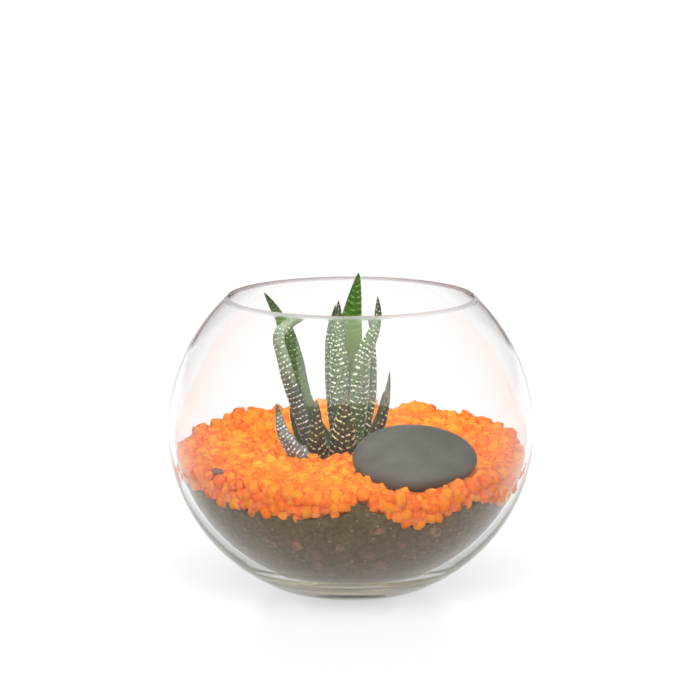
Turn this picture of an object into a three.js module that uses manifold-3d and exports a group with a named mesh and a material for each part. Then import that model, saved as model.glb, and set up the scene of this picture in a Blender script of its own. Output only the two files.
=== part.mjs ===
// A glass bowl terrarium: a cut glass sphere that holds dark soil, a layer of orange
// gravel, a smooth dark pebble and a zebra haworthia of two rosettes.
//
// Millimetres, +Z up. The origin is on the floor under the middle of the bowl. The front,
// where the pebble lies, faces -Y.
import * as THREE from "three";
import { mergeVertices } from "three/addons/utils/BufferGeometryUtils.js";
import Module from "manifold-3d";

const wasm = await Module();
wasm.setup();

const { degToRad, lerp } = THREE.MathUtils;
const FULL_TURN = 2 * Math.PI;

// ---- Driving dimensions ----

// The bowl is a half circle over its widest level and a flatter half ellipse under it.
const WIDEST_LEVEL = 66;
const OUTER_RADIUS = 75;
const OUTER_RISE = 75;
const OUTER_DROP = 71;
// The cavity has the same form, about 2 mm in from the outside and less at the lip, and a
// flat floor with a rounded edge that starts at the heel level.
const CAVITY_RADIUS = 72.8;
const CAVITY_RISE = 73.8;
const CAVITY_DROP = 66.8;
const CAVITY_FLOOR = 6;
const CAVITY_HEEL = 12.5;
const HEEL_STEPS = 3;
const LIP_ANGLE = degToRad(47.5);
// The bowl stands on a flat ring, and the middle of its bottom is pushed up.
const FOOT_RING_INSIDE = 20;
const FOOT_RING_OUTSIDE = 26;
const HEEL_HEIGHT = 1.2;
const PUNT_HEIGHT = 1.4;
const PUNT_SHOULDER = { radius: 11, height: 1.0 };
const BOWL_SIDES = 48;

// Loose contents stay this far from the glass, and touching pieces this far apart.
const WALL_GAP = 0.45;
const TOUCH_GAP = 0.3;
const WELD = 1e-4;

// The ground: a level at the middle, a slope towards the back, and hills and hollows.
const SOIL = {
  level: 45.9,
  slope: 0.04,
  swells: [
    { x: 4, y: -68, height: 8, spread: 5 },
    { x: 28, y: -60, height: -7, spread: 8 },
    { x: 52, y: -44, height: 1.6, spread: 7 },
    { x: 63, y: -27, height: -8.2, spread: 8 },
    { x: -62, y: -30, height: 3.2, spread: 13 },
    { x: -22, y: -64, height: -0.9, spread: 16 },
    { x: 71, y: 14, height: 3, spread: 12 },
    { x: 44, y: 56, height: -4, spread: 12 },
    { x: -14, y: 70, height: 4, spread: 12 },
    { x: -55, y: 44, height: -4, spread: 13 },
  ],
};
const GRAVEL = {
  level: 57.5,
  slope: 0.075,
  swells: [
    { x: 24, y: -15, height: 3, spread: 9 },
    { x: 28, y: -54, height: -2, spread: 13 },
    { x: -5, y: -24, height: 1.4, spread: 8 },
    { x: -45, y: 30, height: 1.2, spread: 14 },
    { x: 40, y: 34, height: 1, spread: 16 },
  ],
};
const GROUND_RINGS = [0.2, 0.42, 0.62, 0.8, 1];
const GROUND_SIDES = 60;
const SOIL_SIDE_RINGS = 5;
const EDGE_STEPS = 12; // rounds of closing in on where the ground meets the glass
const FRINGE = 0.8; // how far the soil's edge at the glass steps up and down

// Grains, larger than life, pave the gravel in rings round the middle. Valleys and crowns
// are shares of the relief, and corners closer than the weld share of a grain are one.
const GRAIN = {
  size: 6.5,
  relief: 2.3,
  valley: [0.45, 0.75],
  crown: [0.05, 0.65],
  jitter: 0.4,
  weld: 0.16,
  seed: 41,
};

// A flat oval pebble, pressed into the gravel with its front edge down.
const PEBBLE = {
  centre: [25.5, -33, 60.2],
  halfSize: [25, 18.5, 8.5],
  tilt: degToRad(30),
  heading: degToRad(-4),
  egg: 0.07,
  sides: 20,
  rows: 10,
};

// Two short stems carry the leaves and stand in the soil.
const STEM = {
  neck: 3.4,
  neckLength: 7,
  shoulder: 2.6,
  shoulderLength: 3,
  crownLength: 0.8,
  root: 2.0,
  rootLevel: 36,
  rootPoint: 1.5,
  sides: 10,
};
const STEMS = {
  main: { x: -1.5, y: 0.5, top: 61 },
  offset: { x: -13.5, y: -3.5, top: 59.5 },
};

// Leaves: bands of raised white tubercles cross the outer side of each.
const BAND_PITCH = 5.4;
const TUBERCLE = 0.55;
const LEAST_BLADE = 0.6;
// The waist is a leaf's share of its full width at its foot and where its taper starts.
const LEAF_FORM = { waist: 0.82, taper: 0.68, thinning: 0.9, cup: 0.35 };

// Each leaf's line runs through these points, from inside its stem to its tip. heading is
// where its outer side looks, in degrees round +Z from +X, and full is the share of its
// length before it tapers. The inner leaves come first, and each later one is cut clear of
// those before it.
const LEAVES = {
  main: [
    {
      name: "leaf_tall",
      heading: 75,
      width: 13,
      thick: 4,
      full: 0.64,
      line: [[-1.2, 2.4, 58], [-1.6, 5.6, 82], [-0.6, 7.2, 104], [3.2, 6, 130.2]],
    },
    {
      name: "leaf_left",
      heading: -112,
      width: 8.2,
      thick: 4.2,
      full: 0.7,
      line: [[-2.6, -1.6, 58], [-4.4, -4, 80], [-4.9, -4.4, 101], [-5.1, -2.8, 120]],
    },
    {
      name: "leaf_right",
      heading: -40,
      width: 10.4,
      thick: 4.2,
      full: 0.65,
      line: [
        [0.4, -0.4, 58],
        [2.4, -2.6, 78],
        [3.8, -3.6, 94],
        [8.8, -2.2, 105.5],
        [10.6, 0, 112],
        [10.9, 1, 121],
      ],
    },
    {
      name: "leaf_left_back",
      heading: 165,
      width: 7.8,
      thick: 4,
      full: 0.7,
      line: [[-4, 1.6, 57], [-6.4, 1.8, 80], [-7.4, 2, 102], [-6.2, 1.6, 117.4]],
    },
    {
      name: "leaf_back_tall",
      heading: 95,
      width: 8.4,
      thick: 4,
      full: 0.5,
      line: [[-2, 4.5, 56.5], [-4, 11.4, 74], [-5, 14.6, 92], [-3.5, 14, 106]],
    },
    {
      name: "leaf_right_curled",
      heading: 15,
      width: 7.6,
      thick: 3.8,
      full: 0.6,
      line: [[2.2, 1.6, 56.5], [6.6, 4.6, 78], [7.6, 5.8, 97], [7.4, 5.4, 107.5], [3.2, 4, 113]],
    },
    {
      name: "leaf_front",
      heading: -92,
      width: 13,
      thick: 5,
      full: 0.3,
      line: [[-2.2, -3.4, 55.5], [-3, -9.6, 62], [-2.8, -12.8, 72], [-1.8, -12.8, 84.4]],
    },
    {
      name: "leaf_right_low",
      heading: -25,
      width: 9,
      thick: 4.6,
      full: 0.3,
      line: [[1.8, -0.6, 55.5], [7.8, -3, 62], [12.6, -4, 74], [15.8, -4, 90]],
    },
    {
      name: "leaf_back_right",
      heading: 42,
      width: 9,
      thick: 4.4,
      full: 0.25,
      line: [[1, 2.6, 55], [7.4, 9, 61], [11.4, 13.4, 68], [13.6, 16, 78.5]],
    },
    {
      name: "leaf_back",
      heading: 92,
      width: 9.4,
      thick: 4.6,
      full: 0.25,
      line: [[-2, 4, 54], [-2.6, 13.6, 60.5], [-3, 19.6, 68.5], [-2.6, 22.2, 78.5]],
    },
    {
      name: "leaf_back_left",
      heading: 138,
      width: 9,
      thick: 4.4,
      full: 0.25,
      line: [[-4, 3, 54.5], [-10, 9.4, 61], [-14.6, 14, 68.5], [-16.6, 16.6, 77]],
    },
  ],
  offset: [
    {
      name: "leaf_offset_long",
      heading: 125,
      width: 8.6,
      thick: 4,
      full: 0.72,
      line: [
        [-14.6, -3.2, 57],
        [-20.2, -2.6, 82],
        [-25.4, -1, 102],
        [-30, 0.6, 114],
        [-35.4, 2, 122.5],
      ],
    },
    {
      name: "leaf_offset_curled",
      heading: -150,
      width: 8.8,
      thick: 4,
      full: 0.74,
      line: [
        [-14.4, -5, 56.5],
        [-20.8, -9.2, 78],
        [-26.8, -11.6, 97],
        [-28.6, -11.4, 106],
        [-24.4, -10.4, 110.8],
        [-17.4, -9, 113],
      ],
    },
    {
      name: "leaf_offset_front",
      heading: -84,
      width: 10,
      thick: 4.6,
      full: 0.3,
      line: [[-13.6, -6, 55.5], [-14, -11.4, 61], [-14, -14, 70], [-14, -14, 81]],
    },
    {
      name: "leaf_offset_low",
      heading: -122,
      width: 10.6,
      thick: 5.2,
      full: 0.3,
      line: [[-15.4, -5.4, 55], [-22, -10.8, 59.6], [-27.2, -13, 67], [-30.3, -13.4, 79]],
    },
    {
      name: "leaf_offset_back",
      heading: 118,
      width: 8.4,
      thick: 4.2,
      full: 0.3,
      line: [[-14.8, -1.4, 55.5], [-19.6, 4.4, 61.5], [-23, 8, 70], [-24.4, 9.4, 80.5]],
    },
  ],
};

// ---- Helpers ----

/** A seeded source of numbers from 0 to 1, the same on every run. */
function seededDraw(seed) {
  let state = seed;
  return () => {
    state = (state * 1664525 + 1013904223) % 4294967296;
    return state / 4294967296;
  };
}

/** A closed skin of triangles that is gathered ring by ring. */
class Skin {
  points = [];
  faces = [];

  /** Adds a point and gives its number. */
  point(x, y, z) {
    this.points.push(x, y, z);
    return this.points.length / 3 - 1;
  }

  /** Adds a ring of THREE.Vector3 points and gives their numbers. */
  ring(vectors) {
    return vectors.map((v) => this.point(v.x, v.y, v.z));
  }

  /** Fans a closed ring to a hub point. */
  fan(hub, ring) {
    ring.forEach((a, i) => this.faces.push(hub, a, ring[(i + 1) % ring.length]));
  }

  /** Joins two closed rings with the same number of points. */
  band(low, high) {
    low.forEach((a, i) => {
      const next = (i + 1) % low.length;
      this.faces.push(a, low[next], high[next], a, high[next], high[i]);
    });
  }

  /** The same triangles as band, facing the other way. */
  bandInside(low, high) {
    low.forEach((a, i) => {
      const next = (i + 1) % low.length;
      this.faces.push(a, high[next], low[next], a, high[i], high[next]);
    });
  }

  /** Joins two closed rings of {angle, id} sorted by angle, whatever their numbers. */
  zip(low, high) {
    const after = (ring, i) =>
      i + 1 < ring.length ? ring[i + 1].angle : ring[0].angle + FULL_TURN;
    let i = 0;
    let j = 0;
    while (i < low.length || j < high.length) {
      const a = low[i % low.length].id;
      const b = high[j % high.length].id;
      const stepLow = i < low.length && (j >= high.length || after(low, i) <= after(high, j));
      if (stepLow) {
        this.faces.push(a, low[(i + 1) % low.length].id, b);
        i += 1;
      } else {
        this.faces.push(a, high[(j + 1) % high.length].id, b);
        j += 1;
      }
    }
  }

  /** The gathered triangles as a three.js geometry. */
  geometry() {
    return new THREE.BufferGeometry()
      .setAttribute("position", new THREE.Float32BufferAttribute(this.points, 3))
      .setIndex(this.faces);
  }
}

/** Closes a row of equal rings with a point before the first and one after the last. */
function closedLoft(rings, first, last) {
  const skin = new Skin();
  const ids = rings.map((ring) => skin.ring(ring));
  skin.fan(skin.point(first.x, first.y, first.z), [...ids[0]].reverse());
  ids.slice(1).forEach((ring, i) => skin.band(ids[i], ring));
  skin.fan(skin.point(last.x, last.y, last.z), ids[ids.length - 1]);
  return skin.geometry();
}

/** A three.js geometry as a solid for joins and cuts. */
function solidOf(geometry) {
  const bare = new THREE.BufferGeometry().setAttribute(
    "position",
    geometry.getAttribute("position"),
  );
  bare.setIndex(geometry.index);
  const merged = mergeVertices(bare, WELD);
  return new wasm.Manifold(
    new wasm.Mesh({
      numProp: 3,
      vertProperties: merged.attributes.position.array,
      triVerts: Uint32Array.from(merged.index.array),
    }),
  );
}

/** The largest body of a solid as a three.js geometry. Loose scraps of a cut are dropped. */
function geometryOf(solid) {
  const [largest] = solid.decompose().sort((a, b) => b.volume() - a.volume());
  const mesh = largest.getMesh();
  return new THREE.BufferGeometry()
    .setAttribute("position", new THREE.Float32BufferAttribute(mesh.vertProperties, 3))
    .setIndex([...mesh.triVerts]);
}

/** A point at a radius, an angle and a level. */
function onCircle(radius, angle, level) {
  return new THREE.Vector3(radius * Math.cos(angle), radius * Math.sin(angle), level);
}

/** The angle of a level of the cavity's wall, over or under its widest circle. */
function cavityAngle(level, inset) {
  const rise = level - WIDEST_LEVEL;
  return Math.asin(rise / ((rise > 0 ? CAVITY_RISE : CAVITY_DROP) - inset));
}

/** The radius of the bowl's cavity at a level, less an inset. */
function cavityRadius(level, inset) {
  return (CAVITY_RADIUS - inset) * Math.cos(cavityAngle(level, inset));
}

/** The height of the soil or the gravel over a point of the floor. */
function groundHeight(ground, x, y) {
  return ground.swells.reduce((height, swell) => {
    const apart = (x - swell.x) ** 2 + (y - swell.y) ** 2;
    return height + swell.height * Math.exp(-apart / (2 * swell.spread ** 2));
  }, ground.level + ground.slope * y);
}

/** The angle of one spoke of the ground's rings. */
function spokeAngle(spoke) {
  return ((spoke + 0.5) / GROUND_SIDES) * FULL_TURN;
}

/** Where the ground meets the glass at an angle: {radius, height}. */
function groundEdge(ground, angle) {
  let radius = CAVITY_RADIUS - WALL_GAP;
  let height = 0;
  for (let step = 0; step < EDGE_STEPS; step += 1) {
    height = groundHeight(ground, radius * Math.cos(angle), radius * Math.sin(angle));
    radius = cavityRadius(height, WALL_GAP);
  }
  return { radius, height };
}

// ---- Glass bowl ----

/** A point of a wall of half ellipses, at an angle over or under the widest circle. */
function wallPoint(radius, rise, drop, angle) {
  const reach = angle > 0 ? rise : drop;
  return new THREE.Vector2(radius * Math.cos(angle), WIDEST_LEVEL + reach * Math.sin(angle));
}

/** Points along a wall from one angle to another, both ends included. */
function wallStretch(radius, rise, drop, from, to, steps) {
  return Array.from({ length: steps + 1 }, (_, i) =>
    wallPoint(radius, rise, drop, lerp(from, to, i / steps)),
  );
}

/** The cavity's rounded edge, from the wall in to the flat floor, as {x: radius, y: level}. */
function cavityHeel(inset) {
  const angle = cavityAngle(CAVITY_HEEL, inset);
  const wallRadius = CAVITY_RADIUS - inset;
  const wallDrop = CAVITY_DROP - inset;
  const start = wallPoint(wallRadius, CAVITY_RISE, wallDrop, angle);
  const down = new THREE.Vector2(wallRadius * Math.sin(angle), -wallDrop * Math.cos(angle));
  const floor = CAVITY_FLOOR + inset;
  const corner = start.clone().addScaledVector(down, (floor - start.y) / down.y);
  const end = new THREE.Vector2(corner.x - corner.distanceTo(start), floor);
  return new THREE.QuadraticBezierCurve(start, corner, end).getPoints(HEEL_STEPS);
}

function bowlGeometry() {
  const heelAngle = -Math.asin((WIDEST_LEVEL - HEEL_HEIGHT) / OUTER_DROP);
  const outer = [OUTER_RADIUS, OUTER_RISE, OUTER_DROP];
  const inner = [CAVITY_RADIUS, CAVITY_RISE, CAVITY_DROP];
  const lipOutside = wallPoint(...outer, LIP_ANGLE);
  const lipInside = wallPoint(...inner, LIP_ANGLE);
  const lipMiddle = lipOutside.clone().add(lipInside).multiplyScalar(0.5);
  const lipRound = [1, 2].map((third) =>
    lipOutside.clone().rotateAround(lipMiddle, (third * Math.PI) / 3),
  );
  const profile = [
    new THREE.Vector2(0, PUNT_HEIGHT),
    new THREE.Vector2(PUNT_SHOULDER.radius, PUNT_SHOULDER.height),
    new THREE.Vector2(FOOT_RING_INSIDE, 0),
    new THREE.Vector2(FOOT_RING_OUTSIDE, 0),
    ...wallStretch(...outer, heelAngle, 0, 6),
    ...wallStretch(...outer, 0, LIP_ANGLE, 5).slice(1),
    ...lipRound,
    ...wallStretch(...inner, LIP_ANGLE, 0, 4),
    ...wallStretch(...inner, 0, cavityAngle(CAVITY_HEEL, 0), 7).slice(1, -1),
    ...cavityHeel(0),
    new THREE.Vector2(0, CAVITY_FLOOR),
  ];
  return new THREE.LatheGeometry(profile, BOWL_SIDES).rotateX(Math.PI / 2);
}

// ---- Soil and gravel ----

/** The rings of points where soil and gravel meet, from the middle out to the glass. */
function groundRings(lift) {
  return GROUND_RINGS.map((share) =>
    Array.from({ length: GROUND_SIDES }, (_, i) => {
      const angle = spokeAngle(i);
      const edge = groundEdge(SOIL, angle);
      const step = share === 1 ? FRINGE * (i % 2 ? 1 : -1) : 0;
      const x = share * edge.radius * Math.cos(angle);
      const y = share * edge.radius * Math.sin(angle);
      const z = groundHeight(SOIL, x, y) + step + lift;
      return share < 1 ? new THREE.Vector3(x, y, z) : onCircle(cavityRadius(z, WALL_GAP), angle, z);
    }),
  );
}

function soilGeometry() {
  const top = groundRings(0);
  const heelAngle = cavityAngle(CAVITY_HEEL, WALL_GAP);
  const heel = cavityHeel(WALL_GAP)
    .reverse()
    .slice(0, -1)
    .map(({ x, y }) => top[0].map((_, i) => onCircle(x, spokeAngle(i), y)));
  const side = Array.from({ length: SOIL_SIDE_RINGS }, (_, row) =>
    top[top.length - 1].map((edge, i) => {
      const edgeAngle = cavityAngle(edge.z, WALL_GAP);
      const steep = lerp(heelAngle, edgeAngle, row / SOIL_SIDE_RINGS);
      const level = WIDEST_LEVEL + (CAVITY_DROP - WALL_GAP) * Math.sin(steep);
      return onCircle(cavityRadius(level, WALL_GAP), spokeAngle(i), level);
    }),
  );
  const middle = new THREE.Vector3(0, 0, groundHeight(SOIL, 0, 0));
  const bottom = new THREE.Vector3(0, 0, CAVITY_FLOOR + WALL_GAP);
  return closedLoft([...heel, ...side, ...[...top].reverse()], bottom, middle);
}

/** One circle of valleys between two rings of grains: {angle, id} sorted by angle. */
function valleyCircle(skin, corners, share, draw) {
  return corners
    .sort((a, b) => a.angle - b.angle)
    .map((corner) => {
      const edge = groundEdge(GRAVEL, corner.angle);
      const wobble = share < 1 ? GRAIN.jitter * GRAIN.size * (draw() - 0.5) : 0;
      const radius = share * edge.radius + wobble;
      const x = radius * Math.cos(corner.angle);
      const y = radius * Math.sin(corner.angle);
      const dip = share < 1 ? GRAIN.relief * lerp(...GRAIN.valley, draw()) : 0;
      corner.id = skin.point(x, y, groundHeight(GRAVEL, x, y) - dip);
      return corner;
    });
}

/** The stretch of a sorted circle from one corner up to another, both included. */
function stretchOf(circle, from, to) {
  const start = circle.indexOf(from);
  const count = (circle.indexOf(to) - start + circle.length) % circle.length;
  return Array.from({ length: count + 1 }, (_, i) => circle[(start + i) % circle.length].id);
}

/** The corners of a row of cells on the circle inside it, reusing any that nearly match. */
function cornersOn(circle, count, phase) {
  const reach = (GRAIN.weld * FULL_TURN) / count;
  return Array.from({ length: count }, (_, i) => {
    const angle = (((i + phase) / count) * FULL_TURN) % FULL_TURN;
    const apart = (corner) => {
      const turn = Math.abs(corner.angle - angle);
      return Math.min(turn, FULL_TURN - turn);
    };
    const match = circle.find((corner) => apart(corner) < reach);
    if (match) return match;
    const corner = { angle };
    circle.push(corner);
    return corner;
  });
}

/** Lays the paved top of the gravel and gives its outer circle. */
function layGrains(skin) {
  const draw = seededDraw(GRAIN.seed);
  const rowCount = Math.round(CAVITY_RADIUS / GRAIN.size - 0.5);
  const rowWidth = CAVITY_RADIUS / (rowCount + 0.5);
  const circleRadius = (row) => (row + 0.5) * rowWidth;
  const rows = Array.from({ length: rowCount }, (_, row) => ({
    count: Math.round((FULL_TURN * circleRadius(row + 0.5)) / GRAIN.size),
    phase: draw(),
  }));
  const circles = Array.from({ length: rowCount + 1 }, () => []);
  rows.forEach((row, k) => {
    row.outer = cornersOn(circles[k + 1], row.count, row.phase);
    row.inner = cornersOn(circles[k], row.count, row.phase);
  });
  circles.forEach((circle, k) => {
    valleyCircle(skin, circle, circleRadius(k) / circleRadius(rowCount), draw);
  });
  const crown = (x, y) =>
    skin.point(x, y, groundHeight(GRAVEL, x, y) + GRAIN.relief * lerp(...GRAIN.crown, draw()));
  const nudge = () => GRAIN.jitter * (draw() - 0.5);
  skin.fan(
    crown(0, 0),
    circles[0].map((corner) => corner.id),
  );
  rows.forEach((row, k) => {
    row.inner.forEach((start, i) => {
      const next = (i + 1) % row.count;
      const inside = stretchOf(circles[k], start, row.inner[next]);
      const outside = stretchOf(circles[k + 1], row.outer[i], row.outer[next]);
      const angle = ((i + 0.5 + row.phase + nudge()) / row.count) * FULL_TURN;
      const share = (k + 1 + nudge()) / (rowCount + 0.5);
      const radius = share * groundEdge(GRAVEL, angle).radius;
      const hub = crown(radius * Math.cos(angle), radius * Math.sin(angle));
      skin.fan(hub, [...outside, ...inside.reverse()]);
    });
  });
  return circles[rowCount];
}

function gravelGeometry() {
  const skin = new Skin();
  const rim = layGrains(skin);
  const under = groundRings(TOUCH_GAP);
  const ids = under.map((ring) => skin.ring(ring));
  const edge = ids[ids.length - 1].map((id, i) => ({ id, angle: spokeAngle(i) }));
  skin.zip(edge, rim);
  ids.slice(1).forEach((ring, i) => skin.bandInside(ring, ids[i]));
  const middle = skin.point(0, 0, groundHeight(SOIL, 0, 0) + TOUCH_GAP);
  skin.fan(middle, [...ids[0]].reverse());
  return skin.geometry();
}

// ---- Pebble ----

function pebbleGeometry(swell) {
  const [length, width, height] = PEBBLE.halfSize;
  const geometry = new THREE.SphereGeometry(1, PEBBLE.sides, PEBBLE.rows).rotateX(Math.PI / 2);
  const spots = geometry.getAttribute("position");
  for (let i = 0; i < spots.count; i += 1) {
    const taper = 1 - PEBBLE.egg * spots.getX(i);
    spots.setXYZ(
      i,
      spots.getX(i) * (length + swell),
      spots.getY(i) * (width + swell) * taper,
      spots.getZ(i) * (height + swell) * taper,
    );
  }
  return geometry
    .rotateX(PEBBLE.tilt)
    .rotateZ(PEBBLE.heading)
    .translate(...PEBBLE.centre);
}

// ---- Haworthia ----

/** A stem: a tapering root stub in the soil and a blunt shoulder among the leaves. */
function stemGeometry(stem, swell) {
  const ringAt = (radius, level) =>
    Array.from({ length: STEM.sides }, (_, i) => {
      const spot = onCircle(radius + swell, (i / STEM.sides) * FULL_TURN, level);
      return spot.add(new THREE.Vector3(stem.x, stem.y, 0));
    });
  const shoulderLevel = stem.top - STEM.shoulderLength;
  const rings = [
    ringAt(STEM.root, STEM.rootLevel),
    ringAt(STEM.neck, shoulderLevel - STEM.neckLength),
    ringAt(STEM.neck, shoulderLevel),
    ringAt(STEM.shoulder, stem.top - STEM.crownLength),
  ];
  const bottom = new THREE.Vector3(stem.x, stem.y, STEM.rootLevel - STEM.rootPoint - swell);
  const top = new THREE.Vector3(stem.x, stem.y, stem.top + swell);
  return closedLoft(rings, bottom, top);
}

/** How much of its full width a leaf has at a share of its length. */
function leafSpread(share, full) {
  const { waist, taper } = LEAF_FORM;
  if (share < full) return lerp(waist, 1, Math.sin((share / full) * Math.PI));
  return waist * ((1 - share) / (1 - full)) ** taper;
}

// A leaf's section: across is a share of the half width, deep a share of the thickness,
// towards the outer side. The first five run over the flat inner side, and the others
// round the keeled outer side, where the tubercles stand.
const LEAF_SECTION = [
  { across: -1, deep: 0, bump: 0 },
  { across: -0.5, deep: -0.06, bump: -1 },
  { across: 0, deep: -0.02, bump: -1 },
  { across: 0.5, deep: -0.06, bump: -1 },
  { across: 1, deep: 0, bump: 0 },
  { across: 0.82, deep: 0.5, bump: 1 },
  { across: 0.42, deep: 0.86, bump: 0 },
  { across: 0, deep: 1, bump: 1 },
  { across: -0.42, deep: 0.86, bump: 0 },
  { across: -0.82, deep: 0.5, bump: 1 },
];

/** A leaf, or the same leaf swollen and smooth, for cutting its neighbours clear of it. */
function leafGeometry(leaf, swell) {
  const line = new THREE.CatmullRomCurve3(leaf.line.map((spot) => new THREE.Vector3(...spot)));
  const bands = Math.round(line.getLength() / BAND_PITCH);
  const stations = swell ? bands + 3 : 2 * bands + 1;
  const heading = degToRad(leaf.heading);
  const inward = new THREE.Vector3(-Math.cos(heading), -Math.sin(heading), LEAF_FORM.cup);
  const rings = Array.from({ length: stations }, (_, station) => {
    const share = station / stations;
    const middle = line.getPointAt(share);
    const along = line.getTangentAt(share);
    const sideways = along.clone().cross(inward).normalize();
    const outward = along.clone().cross(sideways).normalize();
    const spread = leafSpread(share, leaf.full);
    const halfWidth = Math.max((leaf.width / 2) * spread, LEAST_BLADE) + swell;
    const thick = Math.max(leaf.thick * spread ** LEAF_FORM.thinning, LEAST_BLADE);
    const isBand = station % 2 === 1;
    return LEAF_SECTION.map(({ across, deep, bump }, i) => {
      const raised = !swell && isBand && bump === (station % 4 === 1 ? 1 : 0);
      const lift = raised ? TUBERCLE * Math.sqrt(spread) : 0;
      const isMargin = i === 0 || i === 4;
      const outer = isMargin ? 0 : Math.sign(deep) * (swell + (deep > 0 ? lift : 0));
      const reach = across * (halfWidth + (isMargin ? lift : 0));
      return middle
        .clone()
        .addScaledVector(sideways, reach)
        .addScaledVector(outward, deep * thick + outer);
    });
  });
  const foot = line.getPointAt(0);
  const tip = line.getPointAt(1).addScaledVector(line.getTangentAt(1), swell);
  return closedLoft(rings, foot, tip);
}

// ---- Assembly ----

const root = new THREE.Group();

/** Adds a named mesh with its own material to the terrarium. */
function addPiece(name, geometry, finish) {
  const mesh = new THREE.Mesh(geometry, new THREE.MeshStandardMaterial(finish));
  mesh.name = name;
  root.add(mesh);
}

const FINISHES = {
  glass: { color: 0xeef4f0, roughness: 0.03, metalness: 0, transparent: true, opacity: 0.3 },
  soil: { color: 0x4a4238, roughness: 0.95, metalness: 0 },
  gravel: { color: 0xff7a22, roughness: 0.75, metalness: 0 },
  pebble: { color: 0x5d5b57, roughness: 0.55, metalness: 0 },
  stem: { color: 0x8f9a63, roughness: 0.8, metalness: 0 },
  leaf: { color: 0x4c7a2c, roughness: 0.5, metalness: 0 },
};

const leafClearance = TUBERCLE + TOUCH_GAP;
const swollenStems = Object.values(STEMS).map((stem) => solidOf(stemGeometry(stem, TOUCH_GAP)));
const swollenLeaves = [];
const leafSolids = Object.values(LEAVES)
  .flat()
  .map((leaf) => {
    const cutters = [...swollenStems, ...swollenLeaves];
    const whole = solidOf(leafGeometry(leaf, 0));
    const cut = cutters.reduce((solid, cutter) => solid.subtract(cutter), whole);
    swollenLeaves.push(solidOf(leafGeometry(leaf, leafClearance)));
    return { name: leaf.name, solid: cut };
  });

addPiece("glass_bowl", bowlGeometry(), FINISHES.glass);
const soil = swollenStems.reduce((solid, stem) => solid.subtract(stem), solidOf(soilGeometry()));
addPiece("soil", geometryOf(soil), FINISHES.soil);
const gravel = [
  ...swollenStems,
  ...swollenLeaves,
  solidOf(pebbleGeometry(TOUCH_GAP)),
].reduce((solid, cutter) => solid.subtract(cutter), solidOf(gravelGeometry()));
addPiece("gravel", geometryOf(gravel), FINISHES.gravel);
addPiece("pebble", pebbleGeometry(0), FINISHES.pebble);
Object.entries(STEMS).forEach(([name, stem]) => {
  addPiece(`stem_${name}`, stemGeometry(stem, 0), FINISHES.stem);
});
leafSolids.forEach(({ name, solid }) => addPiece(name, geometryOf(solid), FINISHES.leaf));

export default root;
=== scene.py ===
"""A cut glass ball planted with a zebra haworthia, in orange gravel over dark soil.

Metres, +Z up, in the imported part's own frame: the bowl stands on the floor at the origin
and its front, where the pebble lies, faces -Y.
"""

import logging
import math
import random
from collections.abc import Callable
from dataclasses import dataclass
from enum import Enum

import bmesh
import bpy
from mathutils import Matrix, Vector, noise
from mathutils.bvhtree import BVHTree


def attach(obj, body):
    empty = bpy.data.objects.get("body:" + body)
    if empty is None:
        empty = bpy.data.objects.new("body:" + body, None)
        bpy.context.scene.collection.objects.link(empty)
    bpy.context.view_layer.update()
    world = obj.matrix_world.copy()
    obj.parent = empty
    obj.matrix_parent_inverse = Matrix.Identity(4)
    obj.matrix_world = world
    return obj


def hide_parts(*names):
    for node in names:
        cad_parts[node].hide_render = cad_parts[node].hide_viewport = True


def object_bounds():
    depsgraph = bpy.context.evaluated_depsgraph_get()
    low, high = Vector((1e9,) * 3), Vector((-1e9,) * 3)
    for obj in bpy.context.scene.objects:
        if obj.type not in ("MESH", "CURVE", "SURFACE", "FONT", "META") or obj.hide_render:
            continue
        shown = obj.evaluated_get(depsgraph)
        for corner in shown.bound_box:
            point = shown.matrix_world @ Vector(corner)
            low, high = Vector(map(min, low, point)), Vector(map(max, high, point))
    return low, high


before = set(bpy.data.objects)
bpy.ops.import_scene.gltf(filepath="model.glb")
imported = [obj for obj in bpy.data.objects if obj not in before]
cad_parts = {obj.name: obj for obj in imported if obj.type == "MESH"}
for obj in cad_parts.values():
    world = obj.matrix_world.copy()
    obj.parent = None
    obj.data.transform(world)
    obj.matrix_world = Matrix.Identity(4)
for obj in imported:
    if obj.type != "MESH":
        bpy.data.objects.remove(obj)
cad_low, cad_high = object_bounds()

log = logging.getLogger("terrarium")

MM = 0.001
FULL_TURN = 2 * math.pi
ROOT_BODY = "root"
WELD = 0.002 * MM
UP = Vector((0, 0, 1))
MIX_COLOUR_INPUTS = (0, 6, 7)
MIX_COLOUR_OUTPUT = 2

Piece = bpy.types.Object
Socket = bpy.types.NodeSocket
Point = tuple[float, float, float]
Colour = tuple[float, float, float]
Range = tuple[float, float]
Spot = tuple[float, float]
Outline = list[Spot]
Value = Socket | float | tuple[float, ...]
Heights = Callable[[float, float], float]


# ---- Modelling helpers ----


def deselect_all() -> None:
    """Leaves nothing selected, so that the next operator acts on its own piece alone."""
    bpy.ops.object.select_all(action="DESELECT")


def take_up(piece: Piece) -> None:
    """Makes one piece the only selected and the active one.

    Args:
        piece: The object to work on.
    """
    deselect_all()
    piece.select_set(True)
    bpy.context.view_layer.objects.active = piece


def edit_all() -> None:
    """Opens the active piece in edit mode, selected all over."""
    bpy.ops.object.mode_set(mode="EDIT")
    bpy.ops.mesh.select_all(action="SELECT")


def leave_edit() -> None:
    """Goes back to object mode."""
    bpy.ops.object.mode_set(mode="OBJECT")


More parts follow.
